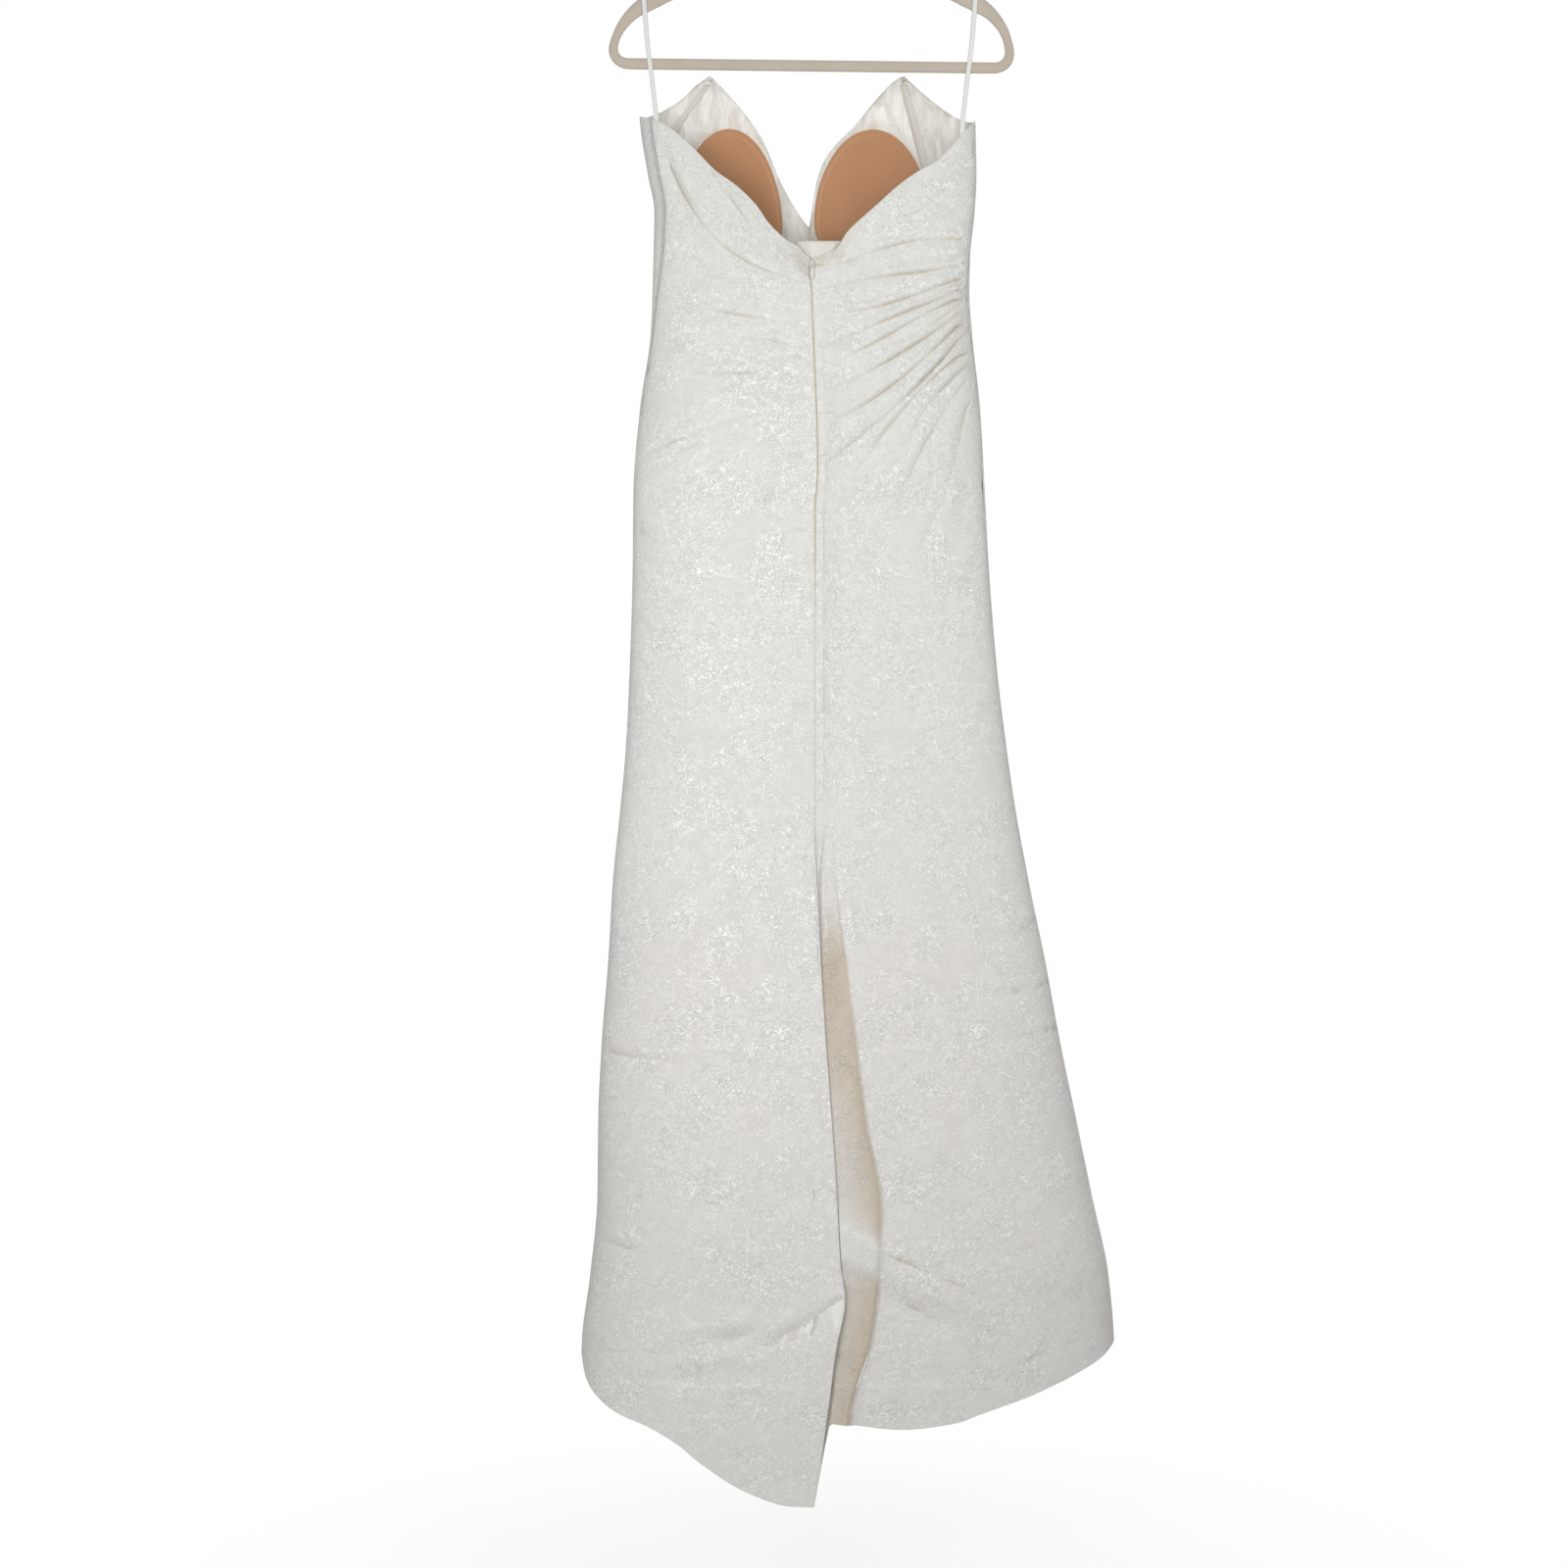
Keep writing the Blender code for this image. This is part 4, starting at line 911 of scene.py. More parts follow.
# %% Helpers for materials
def base_look(name, colour, roughness, **sockets):
    """A principled material with its constant values set on the shader itself."""
    look = bpy.data.materials.new(name)
    look.use_nodes = True
    shader = look.node_tree.nodes["Principled BSDF"]
    shader.inputs["Base Color"].default_value = (*colour, 1)
    shader.inputs["Roughness"].default_value = roughness
    for socket, value in sockets.items():
        shader.inputs[socket.replace("_", " ")].default_value = value
    return look


def node(look, kind, settings=None, **sockets):
    """Adds a node; a socket gets a value, or a link when it is given another node's output."""
    new = look.node_tree.nodes.new("ShaderNode" + kind)
    for setting, value in (settings or {}).items():
        setattr(new, setting, value)
    for socket, value in sockets.items():
        place = int(socket[1:]) if socket[0] == "i" and socket[1:].isdigit() else socket.replace("_", " ")
        if isinstance(value, bpy.types.NodeSocket):
            look.node_tree.links.new(value, new.inputs[place])
        else:
            new.inputs[place].default_value = value
    return new


def ramp(look, value, stops):
    """Colour ramp through (place, grey or colour) stops."""
    new = node(look, "ValToRGB", Fac=value)
    elements = new.color_ramp.elements
    while len(elements) < len(stops):
        elements.new(0.5)
    for element, (place, colour) in zip(elements, stops):
        element.position = place
        grey = (colour,) * 3 if isinstance(colour, (int, float)) else colour
        element.color = (*grey, 1)
    return new.outputs["Color"]


def mix(look, share, first, second, blend="MIX"):
    """Mix of two colours; share may be a number or a link."""
    new = node(look, "Mix", {"data_type": "RGBA", "blend_type": blend}, i0=share, i6=first, i7=second)
    return new.outputs[2]


def maths(look, operation, first, second=0.5):
    """Result of one sum on two numbers or links."""
    return node(look, "Math", {"operation": operation}, i0=first, i1=second).outputs[0]


def into(look, **sockets):
    """Links values into the principled shader."""
    shader = look.node_tree.nodes["Principled BSDF"]
    for socket, value in sockets.items():
        look.node_tree.links.new(value, shader.inputs[socket.replace("_", " ")])


def bumped(look, height, distance, strength=1.0):
    """Normal from a height between 0 and 1."""
    return node(look, "Bump", Height=height, Distance=distance, Strength=strength).outputs["Normal"]


print("materials so far:", len(bpy.data.materials))

# %% [markdown]
# The face cloth is an ivory jacquard. Its ground is matte, and short crinkled threads float on it in
# patches and catch the light. A thin band cut from a noise makes a crinkled thread, a finer one fills the
# patches, and a slow one says where the patches are. All reach colour, roughness and bump. Thin lines
# of painted shade lie in the hollows beside the threads, and a pinkish light is painted over the lower
# skirt in slow patches. A point attribute paints a warm shade into the sharp lines of the creases, the wedge
# and the zip's line, as of light bounced between walls of ivory cloth. A second attribute, "facing", shows
# the plain cream cloth where the facing rolls over the neck edge.

# %% Ivory jacquard
def contour(look, noise, level, half):
    """Thin line where a noise crosses a level."""
    away = maths(look, "ABSOLUTE", maths(look, "SUBTRACT", noise.outputs["Fac"], level))
    return ramp(look, away, [(0.0, 1.0), (half * 0.5, 1.0), (half, 0.0)])


def ivory_jacquard():
    look = base_look("ivory_jacquard", (0.80, 0.80, 0.765), 0.5, Sheen_Weight=0.2, Sheen_Roughness=0.4,
                     Specular_IOR_Level=0.5)
    cloth = node(look, "UVMap").outputs["UV"]
    fine = node(look, "TexNoise", Vector=cloth, Scale=190.0, Detail=1.5, Roughness=0.55, Distortion=2.4)
    wavering = node(look, "VectorMath", {"operation": "MULTIPLY_ADD"}, i0=fine.outputs["Color"],
                    i1=(0.005, 0.005, 0.0), i2=cloth).outputs[0]
    leaves = node(look, "TexNoise", Vector=wavering, Scale=56.0, Detail=3.5, Roughness=0.55, Distortion=1.4)
    patches = node(look, "TexNoise", Vector=cloth, Scale=21.0, Detail=3.5, Roughness=0.62, Distortion=0.8)
    leaf = ramp(look, leaves.outputs["Fac"], [(0.46, 0.0), (0.56, 1.0)])
    dense = ramp(look, patches.outputs["Fac"], [(0.36, 0.12), (0.66, 1.0)])
    crinkle = maths(look, "MULTIPLY", contour(look, fine, 0.5, 0.065), dense)
    outline = maths(look, "MULTIPLY", contour(look, leaves, 0.512, 0.016), maths(look, "ADD", dense, 0.2))
    floating = maths(look, "MAXIMUM", crinkle, maths(look, "MULTIPLY", outline, 0.7))
    # Thin lines of painted shade in the hollows beside the crinkled threads.
    hollow = maths(look, "MULTIPLY", contour(look, fine, 0.61, 0.05), dense)
    weave = node(look, "TexNoise", Vector=cloth, Scale=1400.0, Detail=1.0)
    pink_light_patches = node(look, "TexNoise", Vector=cloth, Scale=4.0, Detail=3.0)
    # Painted pinkish light: it grows down the skirt, in slow patches.
    height = node(look, "SeparateXYZ", Vector=cloth).outputs["Y"]
    painted_pink_light = ramp(look, maths(look, "MULTIPLY", height, -0.66), [(0.25, 0.0), (0.62, 0.8), (1.0, 0.6)])
    painted_pink_light = maths(look, "MULTIPLY", painted_pink_light, ramp(look, pink_light_patches.outputs["Fac"], [(0.3, 0.45), (0.7, 1.0)]))
    ground = mix(look, painted_pink_light, (0.70, 0.705, 0.66, 1), (0.745, 0.705, 0.68, 1))
    ground = mix(look, maths(look, "MULTIPLY", hollow, 0.44), ground, (0.60, 0.595, 0.565, 1))
    satin = mix(look, maths(look, "MULTIPLY", leaf, 0.16), ground, (0.86, 0.855, 0.83, 1))
    threads = mix(look, maths(look, "MULTIPLY", floating, 0.95), satin, (1.0, 1.0, 0.975, 1))
    # Painted warm shade from the point attribute: the creases' sharp lines, the wedge and the zip's line.
    painted_shade_and_halo = node(look, "Attribute", {"attribute_name": "painted_shade_and_halo"}).outputs["Fac"]
    deep = ramp(look, painted_shade_and_halo, [(0.1, 0.0), (0.9, 0.76)])
    facing = node(look, "Attribute", {"attribute_name": "facing"}).outputs["Fac"]
    threads = mix(look, facing, threads, (0.70, 0.655, 0.575, 1))
    into(look, Base_Color=mix(look, deep, threads, (0.56, 0.465, 0.345, 1)))
    into(look, Roughness=ramp(look, maths(look, "ADD", floating, maths(look, "MULTIPLY", leaf, 0.12)),
                              [(0.0, 0.58), (1.0, 0.24)]))
    relief = maths(look, "ADD", maths(look, "MULTIPLY", floating, 0.8), maths(look, "MULTIPLY", leaf, 0.1))
    relief = maths(look, "ADD", relief, maths(look, "MULTIPLY", weave.outputs["Fac"], 0.2))
    into(look, Normal=bumped(look, relief, 0.0003, 0.95))
    return look


IVORY = ivory_jacquard()
print("made", IVORY.name)

# %% [markdown]
# The lining is a thin polyester satin, smoother and a little yellower than the face. It needs only a fine
# weave along one direction and slow puckers, which a stretched noise gives as bump. The same noise paints
# shade into the puckers' hollows and light onto their tops. Round the cups the tan foam shines through it,
# so there a point attribute mixes in a warm halo.

# %% Lining satin
def lining_satin(name, dim, bright):
    look = base_look(name, bright, 0.36, Sheen_Weight=0.15, Specular_IOR_Level=0.5)
    cloth = node(look, "TexCoord").outputs["Object"]
    fine = node(look, "Mapping", Vector=cloth, Scale=(2600, 2600, 500)).outputs["Vector"]
    weave = node(look, "TexNoise", Vector=fine, Scale=1.0, Detail=1.0)
    pucker = node(look, "Mapping", Vector=cloth, Scale=(90, 90, 28)).outputs["Vector"]
    slow = node(look, "TexNoise", Vector=pucker, Scale=1.0, Detail=2.5, Distortion=0.8)
    # Painted shade in the puckers' hollows and painted light on their tops, from the same noise as the bump.
    tone = mix(look, ramp(look, slow.outputs["Fac"], [(0.36, 0.0), (0.62, 1.0)]), (*dim, 1), (*bright, 1))
    halo = node(look, "Attribute", {"attribute_name": "painted_shade_and_halo"}).outputs["Fac"]
    into(look, Base_Color=mix(look, maths(look, "MULTIPLY", halo, 0.5), tone, (0.56, 0.40, 0.28, 1)))
    height = maths(look, "ADD", maths(look, "MULTIPLY", weave.outputs["Fac"], 0.06), slow.outputs["Fac"])
    into(look, Normal=bumped(look, height, 0.0024, 0.6))
    return look


LINING = lining_satin("lining_satin", (0.72, 0.70, 0.645), (0.90, 0.895, 0.85))
GUARD = lining_satin("guard_satin", (0.74, 0.70, 0.63), (0.80, 0.765, 0.70))
print("made", LINING.name, "and", GUARD.name)

# %% [markdown]
# With the grids and the cloth ready, the three outer panels are one call each. They are thin closed walls
# that stand where their plain solids stood. The right back panel's cut is longer than its seam, because its
# side is gathered. Beside the zip's top the neck is finished with a plain facing that has rolled outwards, so
# a strip of each back panel is marked for it.

# %% Outer panels
CLOTH_WALL = 1.1
FACING_FADE = 2.5


def wear(piece, *nodes, body="dress", slot="ivory_jacquard"):
    """Puts a piece on its body in place of its plain solids."""
    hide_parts(*nodes)
    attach(piece, body)
    return piece


def neck_facing(piece, grid, full_x, end_x, wide):
    """Marks the rolled facing beside the zip's top: full as far as one x, gone at another."""
    x, drop = grid[..., 0], grid[..., 2]
    slope = np.gradient(drop[0]) / np.maximum(np.abs(np.gradient(x[0])), 0.05)
    from_edge = (drop - drop[:1]) / np.hypot(1, slope)
    beside = np.clip((end_x - x) / (end_x - full_x), 0, 1)
    mask = np.clip((wide - from_edge) / FACING_FADE, 0, 1) * beside
    values = np.zeros(len(piece.data.vertices))
    values[:mask.size] = 0.75 * mask.ravel()
    point_values(piece, "facing", values)
    print(piece.name, "shows its facing down to", wide, "mm below the neck edge")


back_left = cloth_piece("back_left_cloth", left_grid, CLOTH_WALL, IVORY, LINING)
back_right = cloth_piece("back_right_cloth", right_grid, CLOTH_WALL, IVORY, LINING)
front_cloth = cloth_piece("front_cloth", front[:, ::-1], CLOTH_WALL, IVORY, LINING)
neck_facing(back_left, left_grid, -8, -40, 18)
neck_facing(back_right, right_grid, 30, 62, 12)
wear(back_left, "back_left")
wear(back_right, "back_right")
wear(front_cloth, "front_panel")

# %% [markdown]
# Over the low back one looks into the bodice and sees the front's lining. It's loose: it shows streaks where
# it is sewn to the edge and puckers above the cups. The lining repeats the front's own grid a little further
# in, so it can't cut through it, and gets small waves of its own that only push it inward. Its tint is
# strongest at the cups' outline, on both skins, because it is looked at from behind.

# %% Bodice lining
CUP = table("x drop half_width up down", [(-92, 105, 60, 110, 60), (70, 100, 66, 105, 62)])
BONING_LEFT = table("x drop", [(-116, -52), (-156, 10), (-163, 70), (-165, 150)])
BONING_RIGHT = table("x drop", [(105, -52), (130, 36), (145, 90), (149, 150)])
LINING_OFF = 2.3
LINING_WALL = 0.8
LINING_ROWS = 166


def lining_grid(first, last):
    """The front's upper part with the lining's own loose streaks."""
    grid = front[:LINING_ROWS, first:last].copy()
    x, drop = grid[..., 0], grid[..., 2]
    from_edge = drop - drop[:1]
    streak = ripple(x + 0.45 * drop, drop * 0.16, 6.5, 51) + 0.7 * ripple(x - 0.6 * drop, drop * 0.25, 10, 52)
    slow = ripple(x, drop, 24, 53)
    loose = np.clip((from_edge - 2) / 14, 0, 1)
    halo = np.zeros_like(x)
    for i in range(2):
        tall = np.where(drop > CUP["drop"][i], CUP["down"][i], CUP["up"][i])
        reach = np.hypot((x - CUP["x"][i]) / CUP["half_width"][i], (drop - CUP["drop"][i]) / tall)
        loose = loose * (0.1 + 0.9 * np.clip((reach - 1.0) / 0.12, 0, 1))
        halo = np.maximum(halo, np.exp(-(np.clip(reach - 1, 0, 9) / 0.09) ** 2))
    for route in (BONING_LEFT, BONING_RIGHT):
        beside = np.abs(x - read(route, "x", drop))
        loose = loose * (0.15 + 0.85 * np.clip((beside - 3.5) / 5, 0, 1))
    grid[..., 5] = np.minimum(grid[..., 5], 0.3) - (1.5 + 1.0 * streak + 0.9 * slow) * loose
    grid[..., 6] = halo * (0.55 + 0.35 * streak)
    grid[0, :, 2] += 1.2
    grid[1:8, :, 2] = grid[0, :, 2] + (grid[8, :, 2] - grid[0, :, 2]) * np.arange(1, 8)[:, None] / 8
    return grid


v_column = int(np.argmin(np.abs(front[0, 4:-4, 0] + 1) + np.where(front[0, 4:-4, 1] > 30, 0, 500))) + 4
left_lining, right_lining = lining_grid(5, v_column + 1), lining_grid(v_column, front.shape[1] - 5)
step_in(right_lining, 0, 1)
lining_left, lining_right = (
    cloth_piece(name, grid[:, ::-1], LINING_WALL, LINING, LINING, inward=LINING_OFF, tint_inside=1.0)
    for name, grid in (("lining_left_satin", left_lining), ("lining_right_satin", right_lining))
)
wear(lining_left, "lining_left", slot="lining_satin")
wear(lining_right, "lining_right", slot="lining_satin")

# %% [markdown]
# The cups are moulded foam covered with brushed tan tricot, set into the bodice. Their skin-coloured domes
# are the warmest spot of the dress. Each is a closed dome on the bodice's own curve, thick in its middle and
# thin at its rim, where a stitched line runs all round. A simulation would add nothing, as moulded foam
# keeps its form.

# %% Moulded cups
CUP_OFF = 4.7
CUP_RINGS = 40
CUP_SPOKES = 120
STITCH_IN = 3.6


def tan_foam():
    look = base_look("tan_foam", (0.44, 0.215, 0.115), 0.82, Sheen_Weight=0.35, Sheen_Roughness=0.5,
                     Specular_IOR_Level=0.25)
    look.node_tree.nodes["Principled BSDF"].inputs["Sheen Tint"].default_value = (0.95, 0.75, 0.6, 1)
    place = node(look, "TexCoord").outputs["Object"]
    nap = node(look, "TexNoise", Vector=place, Scale=900.0, Detail=3.0, Roughness=0.7)
    cloud = node(look, "TexNoise", Vector=place, Scale=22.0, Detail=3.0)
    tone = mix(look, cloud.outputs["Fac"], (0.49, 0.248, 0.125, 1), (0.55, 0.288, 0.153, 1))
    tips = ramp(look, nap.outputs["Fac"], [(0.35, 0.0), (0.75, 0.35)])
    fluff = mix(look, tips, tone, (0.56, 0.31, 0.18, 1))
    rim = node(look, "Attribute", {"attribute_name": "rim"}).outputs["Fac"]
    into(look, Base_Color=mix(look, rim, fluff, (0.68, 0.44, 0.27, 1)))
    into(look, Normal=bumped(look, nap.outputs["Fac"], 0.0004, 0.5))
    return look


FOAM = tan_foam()


def inside_front(x, drop, inward):
    """Points at a distance inside the smooth front, in metres."""
    turn = -turn_at(x, drop)
    face_x, face_y = body_point(turn, drop, "back_left")
    nx, ny = body_normal(turn, drop, "back_left")
    z = UNDERARM_Z - np.asarray(drop, float)
    return np.stack([face_x - nx * inward, face_y - ny * inward, z + 0 * face_x], axis=-1) * MM


def dome_faces():
    """Faces of two skins of rings, the band that joins their last rings, and a fan in each middle."""
    index = np.arange(CUP_RINGS * CUP_SPOKES).reshape(CUP_RINGS, CUP_SPOKES)
    after = np.roll(index, -1, axis=1)
    second, hub = index.size, 2 * index.size
    a, b, c, d = index[:-1], after[:-1], after[1:], index[1:]
    outer_faces = np.stack([a, d, c, b], -1).reshape(-1, 4)
    inner_faces = np.stack([a, b, c, d], -1).reshape(-1, 4) + second
    band = np.stack([index[-1], index[-1] + second, after[-1] + second, after[-1]], -1)
    faces = [tuple(f) for part in (outer_faces, inner_faces, band) for f in part]
    faces += [(hub, p, q) for p, q in zip(index[0], after[0])]
    faces += [(hub + 1, q + second, p + second) for p, q in zip(index[0], after[0])]
    return faces


def cup_piece(name, i):
    """Dome from rings round a centre, thick in its middle."""
    reach = np.sin(np.linspace(0.04, 1, CUP_RINGS) * math.pi / 2)[:, None]
    angle = np.linspace(0, 2 * math.pi, CUP_SPOKES, endpoint=False)[None, :]
    tall = np.where(np.sin(angle) > 0, CUP["down"][i], CUP["up"][i])
    x = CUP["x"][i] + CUP["half_width"][i] * reach * np.cos(angle)
    drop = CUP["drop"][i] + tall * reach * np.sin(angle)
    to_rim = (1 - reach) * CUP["half_width"][i] + 0 * angle
    pressed = 0.35 * np.exp(-((to_rim - STITCH_IN) / 0.7) ** 2)
    thick = 1.0 + 4.0 * (1 - reach ** 3) - pressed + 0.15 * ripple(x, drop, 16, 61 + i)
    thick = thick * np.clip(to_rim / 0.8 + 0.15, 0, 1) ** 0.5
    outer, inner = inside_front(x, drop, CUP_OFF), inside_front(x, drop, CUP_OFF + thick)
    points = np.concatenate([outer.reshape(-1, 3), inner.reshape(-1, 3),
                             outer[0].mean(0)[None], inner[0].mean(0)[None]])
    piece = add_mesh(name, points, dome_faces(), [FOAM])
    by_v = np.clip(np.cos(angle) * (1 if i == 0 else -1) + 0.25, 0, 1)
    line = np.exp(-((to_rim - STITCH_IN) / 0.6) ** 2) * 0.6 * by_v
    point_values(piece, "rim", np.concatenate([line.ravel(), line.ravel(), [0, 0]]))
    print(name, "stands", round(float(thick.max()), 1), "mm thick")
    return piece


for place, side in enumerate(("left", "right")):
    cup = wear(cup_piece("cup_" + side + "_foam", place), "cup_" + side, slot="tan_foam")

# %% [markdown]
# What is left on the dress is narrow: tapes, ribbons and wires. Blender could make them as curves with a
# bevel. Here each is a section carried along a line by one sweep function, as a section can then change on
# its way and its last ring can join its first. The line is a smooth curve through a few points.

# %% Sweeps along smooth lines
def smooth_line(points, steps, closed=False):
    """Catmull-Rom curve through points."""
    points = np.asarray(points, float)
    if closed:
        padded = np.concatenate([points[-1:], points, points[:2]])
    else:
        padded = np.concatenate([2 * points[:1] - points[1:2], points, 2 * points[-1:] - points[-2:-1]])
    pieces = []
    for p0, p1, p2, p3 in zip(padded, padded[1:], padded[2:], padded[3:]):
        f = np.arange(steps)[:, None] / steps
        pieces.append(0.5 * (2 * p1 + (p2 - p0) * f + (2 * p0 - 5 * p1 + 4 * p2 - p3) * f ** 2
                             + (3 * p1 - p0 - 3 * p2 + p3) * f ** 3))
    if not closed:
        pieces.append(points[-1:])
    return np.concatenate(pieces)


def sweep(name, rings, look, closed=False):
    """Closed mesh through rings of points in millimetres, capped unless it joins its own start."""
    rings = np.asarray(rings, float)
    count, sides = rings.shape[:2]
    index = np.arange(count * sides).reshape(count, sides)
    ahead = np.roll(index, -1, axis=0) if closed else index[1:]
    here = index if closed else index[:-1]
    quads = np.stack([here, np.roll(here, -1, axis=1), np.roll(ahead, -1, axis=1), ahead], -1).reshape(-1, 4)
    faces = [tuple(q) for q in quads]
    if not closed:
        faces += [tuple(index[0, ::-1]), tuple(index[-1])]
    return add_mesh(name, rings.reshape(-1, 3) * MM, faces, [look])


def wire(name, line, radius, look, sides=12, closed=False):
    """Round wire along a line in millimetres."""
    line = np.asarray(line, float)
    ahead = np.roll(line, -1, 0) - np.roll(line, 1, 0) if closed else np.gradient(line, axis=0)
    ahead /= np.linalg.norm(ahead, axis=1, keepdims=True)
    guide = np.array([0.0, 1.0, 0.0]) if np.ptp(line[:, 1]) < 1e-3 else np.array([1.0, 0.05, 0.02])
    across = guide - ahead * (ahead @ guide)[:, None]
    across /= np.linalg.norm(across, axis=1, keepdims=True)
    up = np.cross(ahead, across)
    a = np.linspace(0, 2 * math.pi, sides, endpoint=False)
    radius = np.broadcast_to(radius, (len(line),))[:, None, None]
    rings = line[:, None] + radius * (np.cos(a)[:, None] * across[:, None] + np.sin(a)[:, None] * up[:, None])
    return sweep(name, rings, look, closed)


print("line through three points has", len(smooth_line([(0, 0, 0), (1, 0, 0), (2, 1, 0)], 8)), "points")

# %% [markdown]
# A boning channel is a narrow tape with a stiff rod in it, sewn to the lining from each peak down, and it
# keeps the bodice up. A modelled rod would never be seen, so the tape's section swells over it instead.

# %% Boning channels
BONING_OFF = 4.5


def boning_tape():
    look = base_look("boning_tape", (0.74, 0.68, 0.60), 0.6, Sheen_Weight=0.1)
    place = node(look, "TexCoord").outputs["Object"]
    ribs = node(look, "TexWave", {"bands_direction": "Z"}, Vector=place, Scale=260.0, Distortion=1.5,
                Detail=1.0)
    tone = mix(look, ribs.outputs["Fac"], (0.68, 0.65, 0.59, 1), (0.75, 0.72, 0.665, 1))
    into(look, Base_Color=tone, Normal=bumped(look, ribs.outputs["Fac"], 0.0003, 0.5))
    return look


TAPE = boning_tape()


def channel(name, route):
    """Tape whose middle swells over the rod, along the lining's inside."""
    drop = np.linspace(route["drop"][0], route["drop"][-1], 90)
    x = read(route, "x", drop)
    section = [(-4.4, 0), (-4.4, 0.15), (-3.2, 0.5), (-2, 1.0), (0, 1.35), (2, 1.0), (3.2, 0.5), (4.4, 0.15),
               (4.4, 0), (0, -0.1)]
    rings = [inside_front(x + side, drop, BONING_OFF + deep) / MM for side, deep in section]
    return sweep(name, np.stack(rings, axis=1)[:, ::-1], TAPE)


for side, route, lining in (("left", BONING_LEFT, lining_left), ("right", BONING_RIGHT, lining_right)):
    sewn = wear(channel("boning_" + side + "_channel", route), "boning_" + side, slot="lining_satin")

# %% [markdown]
# A dressmaker ends each peak with a hand tack: a few short turns of thread that hold the folded corner. A
# tack is one thin wire along a small zigzag, so the sweep makes it too.

# %% Hand tacks at the peaks
THREAD = base_look("tan_thread", (0.46, 0.37, 0.25), 0.7)


def tack(name, x, drop):
    """Zigzag of thread across the inside of a peak."""
    turns = [(-2.2, 0), (1.8, 0.9), (-1.6, 1.9), (1.3, 2.8), (-0.9, 3.9), (0.6, 4.8), (0.1, 7.5)]
    points = [inside_front(x + side, drop + down, LINING_OFF + 1.6) / MM for side, down in turns]
    return wire(name, smooth_line(points, 5), 0.38, THREAD, sides=8)


for side, x, drop in (("left", -113, -57), ("right", 104, -57)):
    knot = tack("tack_" + side, x, drop)
    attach(knot, "dress")
    print(knot.name, "sits at drop", drop)

# %% [markdown]
# The zip sits behind the back seam. Its cream coil, its tape and a satin guard lie inside, so only the top
# of the guard, the slider and its tab show. The coil is one wire wound back and forth, swept along a line
# like the tapes, and the guard waves a little, as a folded strip of satin does.

# %% Zip tape, coil and guard
ZIP_TOP, ZIP_END = 163.0, 516.0
TAPE_OFF = 3.2
GUARD_OFF = 5.9


def back_y(drop):
    """Outside of the smooth back beside the zip."""
    return body_point(turn_at(read(FOLD, "start", drop), drop), drop, "back_left")[1]


def strip_down(name, drops, section, look):
    """Sweep of a section down the back's inside; the section gives x and inward distance at each drop."""
    rings = []
    for drop in drops:
        rings.append([(x, back_y(drop) + inward, UNDERARM_Z - drop) for x, inward in section(drop)])
    return sweep(name, rings, look)


def zip_line(drop):
    """X of the zip's middle."""
    return float(read(FOLD, "start", drop)) + 7.0


def tape_section(drop):
    x, near, far = zip_line(drop), TAPE_OFF, TAPE_OFF + 0.7
    return [(x - 11, near), (x - 11, far), (x - 3, far + 0.1),
            (x + 3, far + 0.1), (x + 11, far), (x + 11, near)]


def guard_section(drop):
    wave = 0.25 * math.sin(drop / 9) + 0.2 * math.sin(drop / 23 + 1)
    right = 34.8 + 0.6 * math.sin(drop / 31)
    near, far = GUARD_OFF, GUARD_OFF + 0.9
    return [(-15, near), (-15.2, near + 0.45), (-15, far), (-4, far + 0.2 + wave * 0.5), (10, far + 0.25),
            (24, far + 0.2 - wave * 0.5), (right, far), (right + 0.2, near + 0.45), (right, near)]


def zip_enamel():
    look = base_look("pale_enamel", (0.72, 0.70, 0.62), 0.32, Coat_Weight=0.4, Coat_Roughness=0.15)
    place = node(look, "TexCoord").outputs["Object"]
    worn = node(look, "TexNoise", Vector=place, Scale=900.0, Detail=3.0)
    tone = mix(look, ramp(look, worn.outputs["Fac"], [(0.3, 0.0), (0.7, 1.0)]),
               (0.66, 0.635, 0.55, 1), (0.77, 0.755, 0.69, 1))
    into(look, Base_Color=tone, Normal=bumped(look, worn.outputs["Fac"], 0.0001, 0.4))
    return look


ENAMEL = zip_enamel()
print("zip from drop", ZIP_TOP, "to", ZIP_END)

# %% [markdown]
# With the line and the sections at hand, the guard and the tape are one sweep each. The coil's line swings
# from side to side by less than two millimetres, with five points a turn, which is enough at its size.

# %% Zip pieces in place
guard = strip_down("zip_guard_satin", np.linspace(139, 530, 130), guard_section, GUARD)
tape = strip_down("zip_tape_woven", np.linspace(ZIP_TOP + 2, ZIP_END, 120), tape_section, TAPE)
coil_drops = np.linspace(ZIP_TOP + 12, ZIP_END - 4, 2000)
phase = np.arange(len(coil_drops)) * math.pi / 2.5
coil_line = np.stack([
    np.array([zip_line(d) for d in coil_drops]) + 1.7 * np.sin(phase),
    back_y(coil_drops) + TAPE_OFF + 1.55 + 0.45 * np.cos(2 * phase),
    UNDERARM_Z - coil_drops,
], axis=-1)
coil = wire("zip_coil", coil_line, 0.32, ENAMEL, sides=6)
wear(guard, "zip_guard", slot="lining_satin")
wear(tape, "zip_tape", slot="lining_satin")
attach(coil, "dress")
print("coil has", len(coil_line), "points along its wire")

# %% [markdown]
# The slider and its tab are small enamelled castings. Their plain solids already have the right form, so
# copies of those meshes get a fine bevel, which is what light catches on a real casting. The tab rides on
# its own body, because it swings up on the slider's bail.

